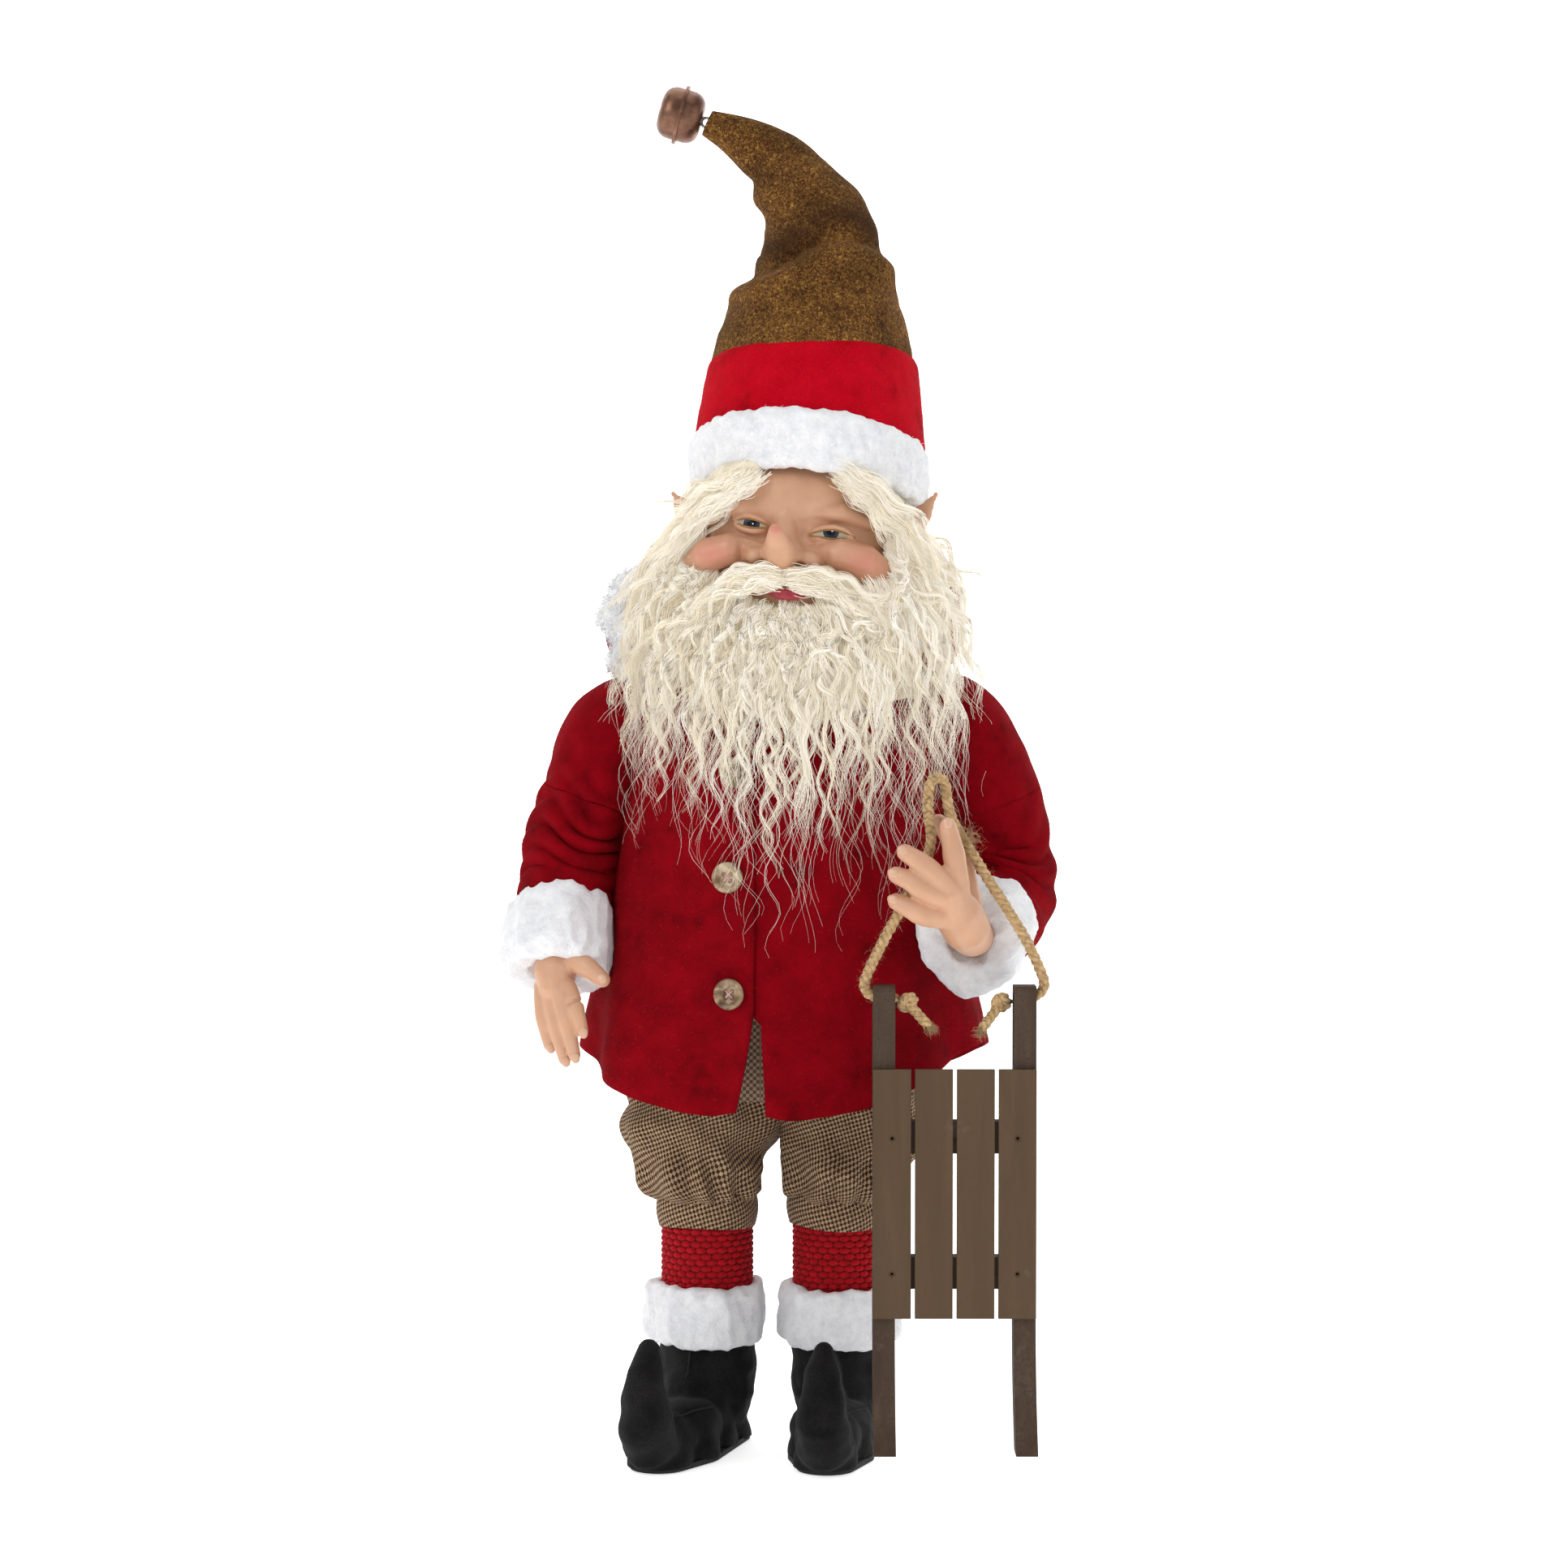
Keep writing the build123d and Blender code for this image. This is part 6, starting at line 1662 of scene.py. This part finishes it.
rope_points, rope_faces = joined(twisted(rope_line, ROPE_D, 10.5, 1))
tow_rope = new_piece("tow_rope_laid", rope_points, rope_faces, jute.material, "sled", "jute", ("tow_rope",))
rng = np.random.default_rng(95)
spot = rng.integers(4, len(rope_line) - 4, 900)
normal = rng.normal(0, 1, (900, 3))
normal /= np.linalg.norm(normal, axis=1)[:, None]
hair_points, hair_faces = strands(*pile(rope_line[spot] + normal * 1.9, normal, 3.2, 0.07, 1.6, 96, count=8))
rub = rope_line[np.argmin(np.linalg.norm(rope_line - (85, -98, 303), axis=1))]
snag = rub + rng.normal(0, 1.6, (110, 3)) * (1, 1, 2)
snag_way = rng.normal(0, 1, (110, 3)) + (0.8, -0.3, 0.6)
snag_way /= np.linalg.norm(snag_way, axis=1)[:, None]
snagged = strands(*pile(snag, snag_way, 8.0, 0.09, 3.0, 100, count=10))
hair_points, hair_faces = joined([(hair_points, hair_faces), snagged])
rope_hairs = new_piece("tow_rope_hairs", hair_points, hair_faces, jute.material, "sled", "jute")

knot_parts = []
for start, way in (((53.4, -98, 229.0), (10.5, -1.5, -11.5)), ((105.8, -98, 229.0), (-9.5, -1.5, -13.0))):
    start, way = np.array(start, float), np.array(way, float)
    toward = way * (1, 0, 0) / abs(way[0])
    middle = start + toward * 4.2 + (0, 0, -1.0)
    t = np.linspace(0, 1, 90)
    wrap = np.stack([middle[0] + 2.4 * np.cos(12.6 * t) + toward[0] * 2.0 * (t - 0.5),
                     middle[1] + 3.1 * np.sin(12.6 * t), middle[2] + 3.0 * np.cos(12.6 * t + 1.4)], axis=1)
    knot_parts += twisted(wrap, 3.6, 9.0, 2)
    tail = smooth_line([middle, middle + way * 0.45, middle + way * 0.95], 50)
    knot_parts += twisted(tail, 4.3, 9.5, 3)
    fray = np.repeat(tail[-1:], 90, axis=0) + rng.normal(0, 0.9, (90, 3))
    aim = np.repeat((way / np.linalg.norm(way))[None], 90, axis=0)
    knot_parts.append(strands(*pile(fray, aim, 4.2, 0.16, 1.2, 97, count=6)))
knot_points, knot_faces = joined(knot_parts)
knots = new_piece("rope_knots_tied", knot_points, knot_faces, jute.material, "sled", "jute", ("rope_knots",))
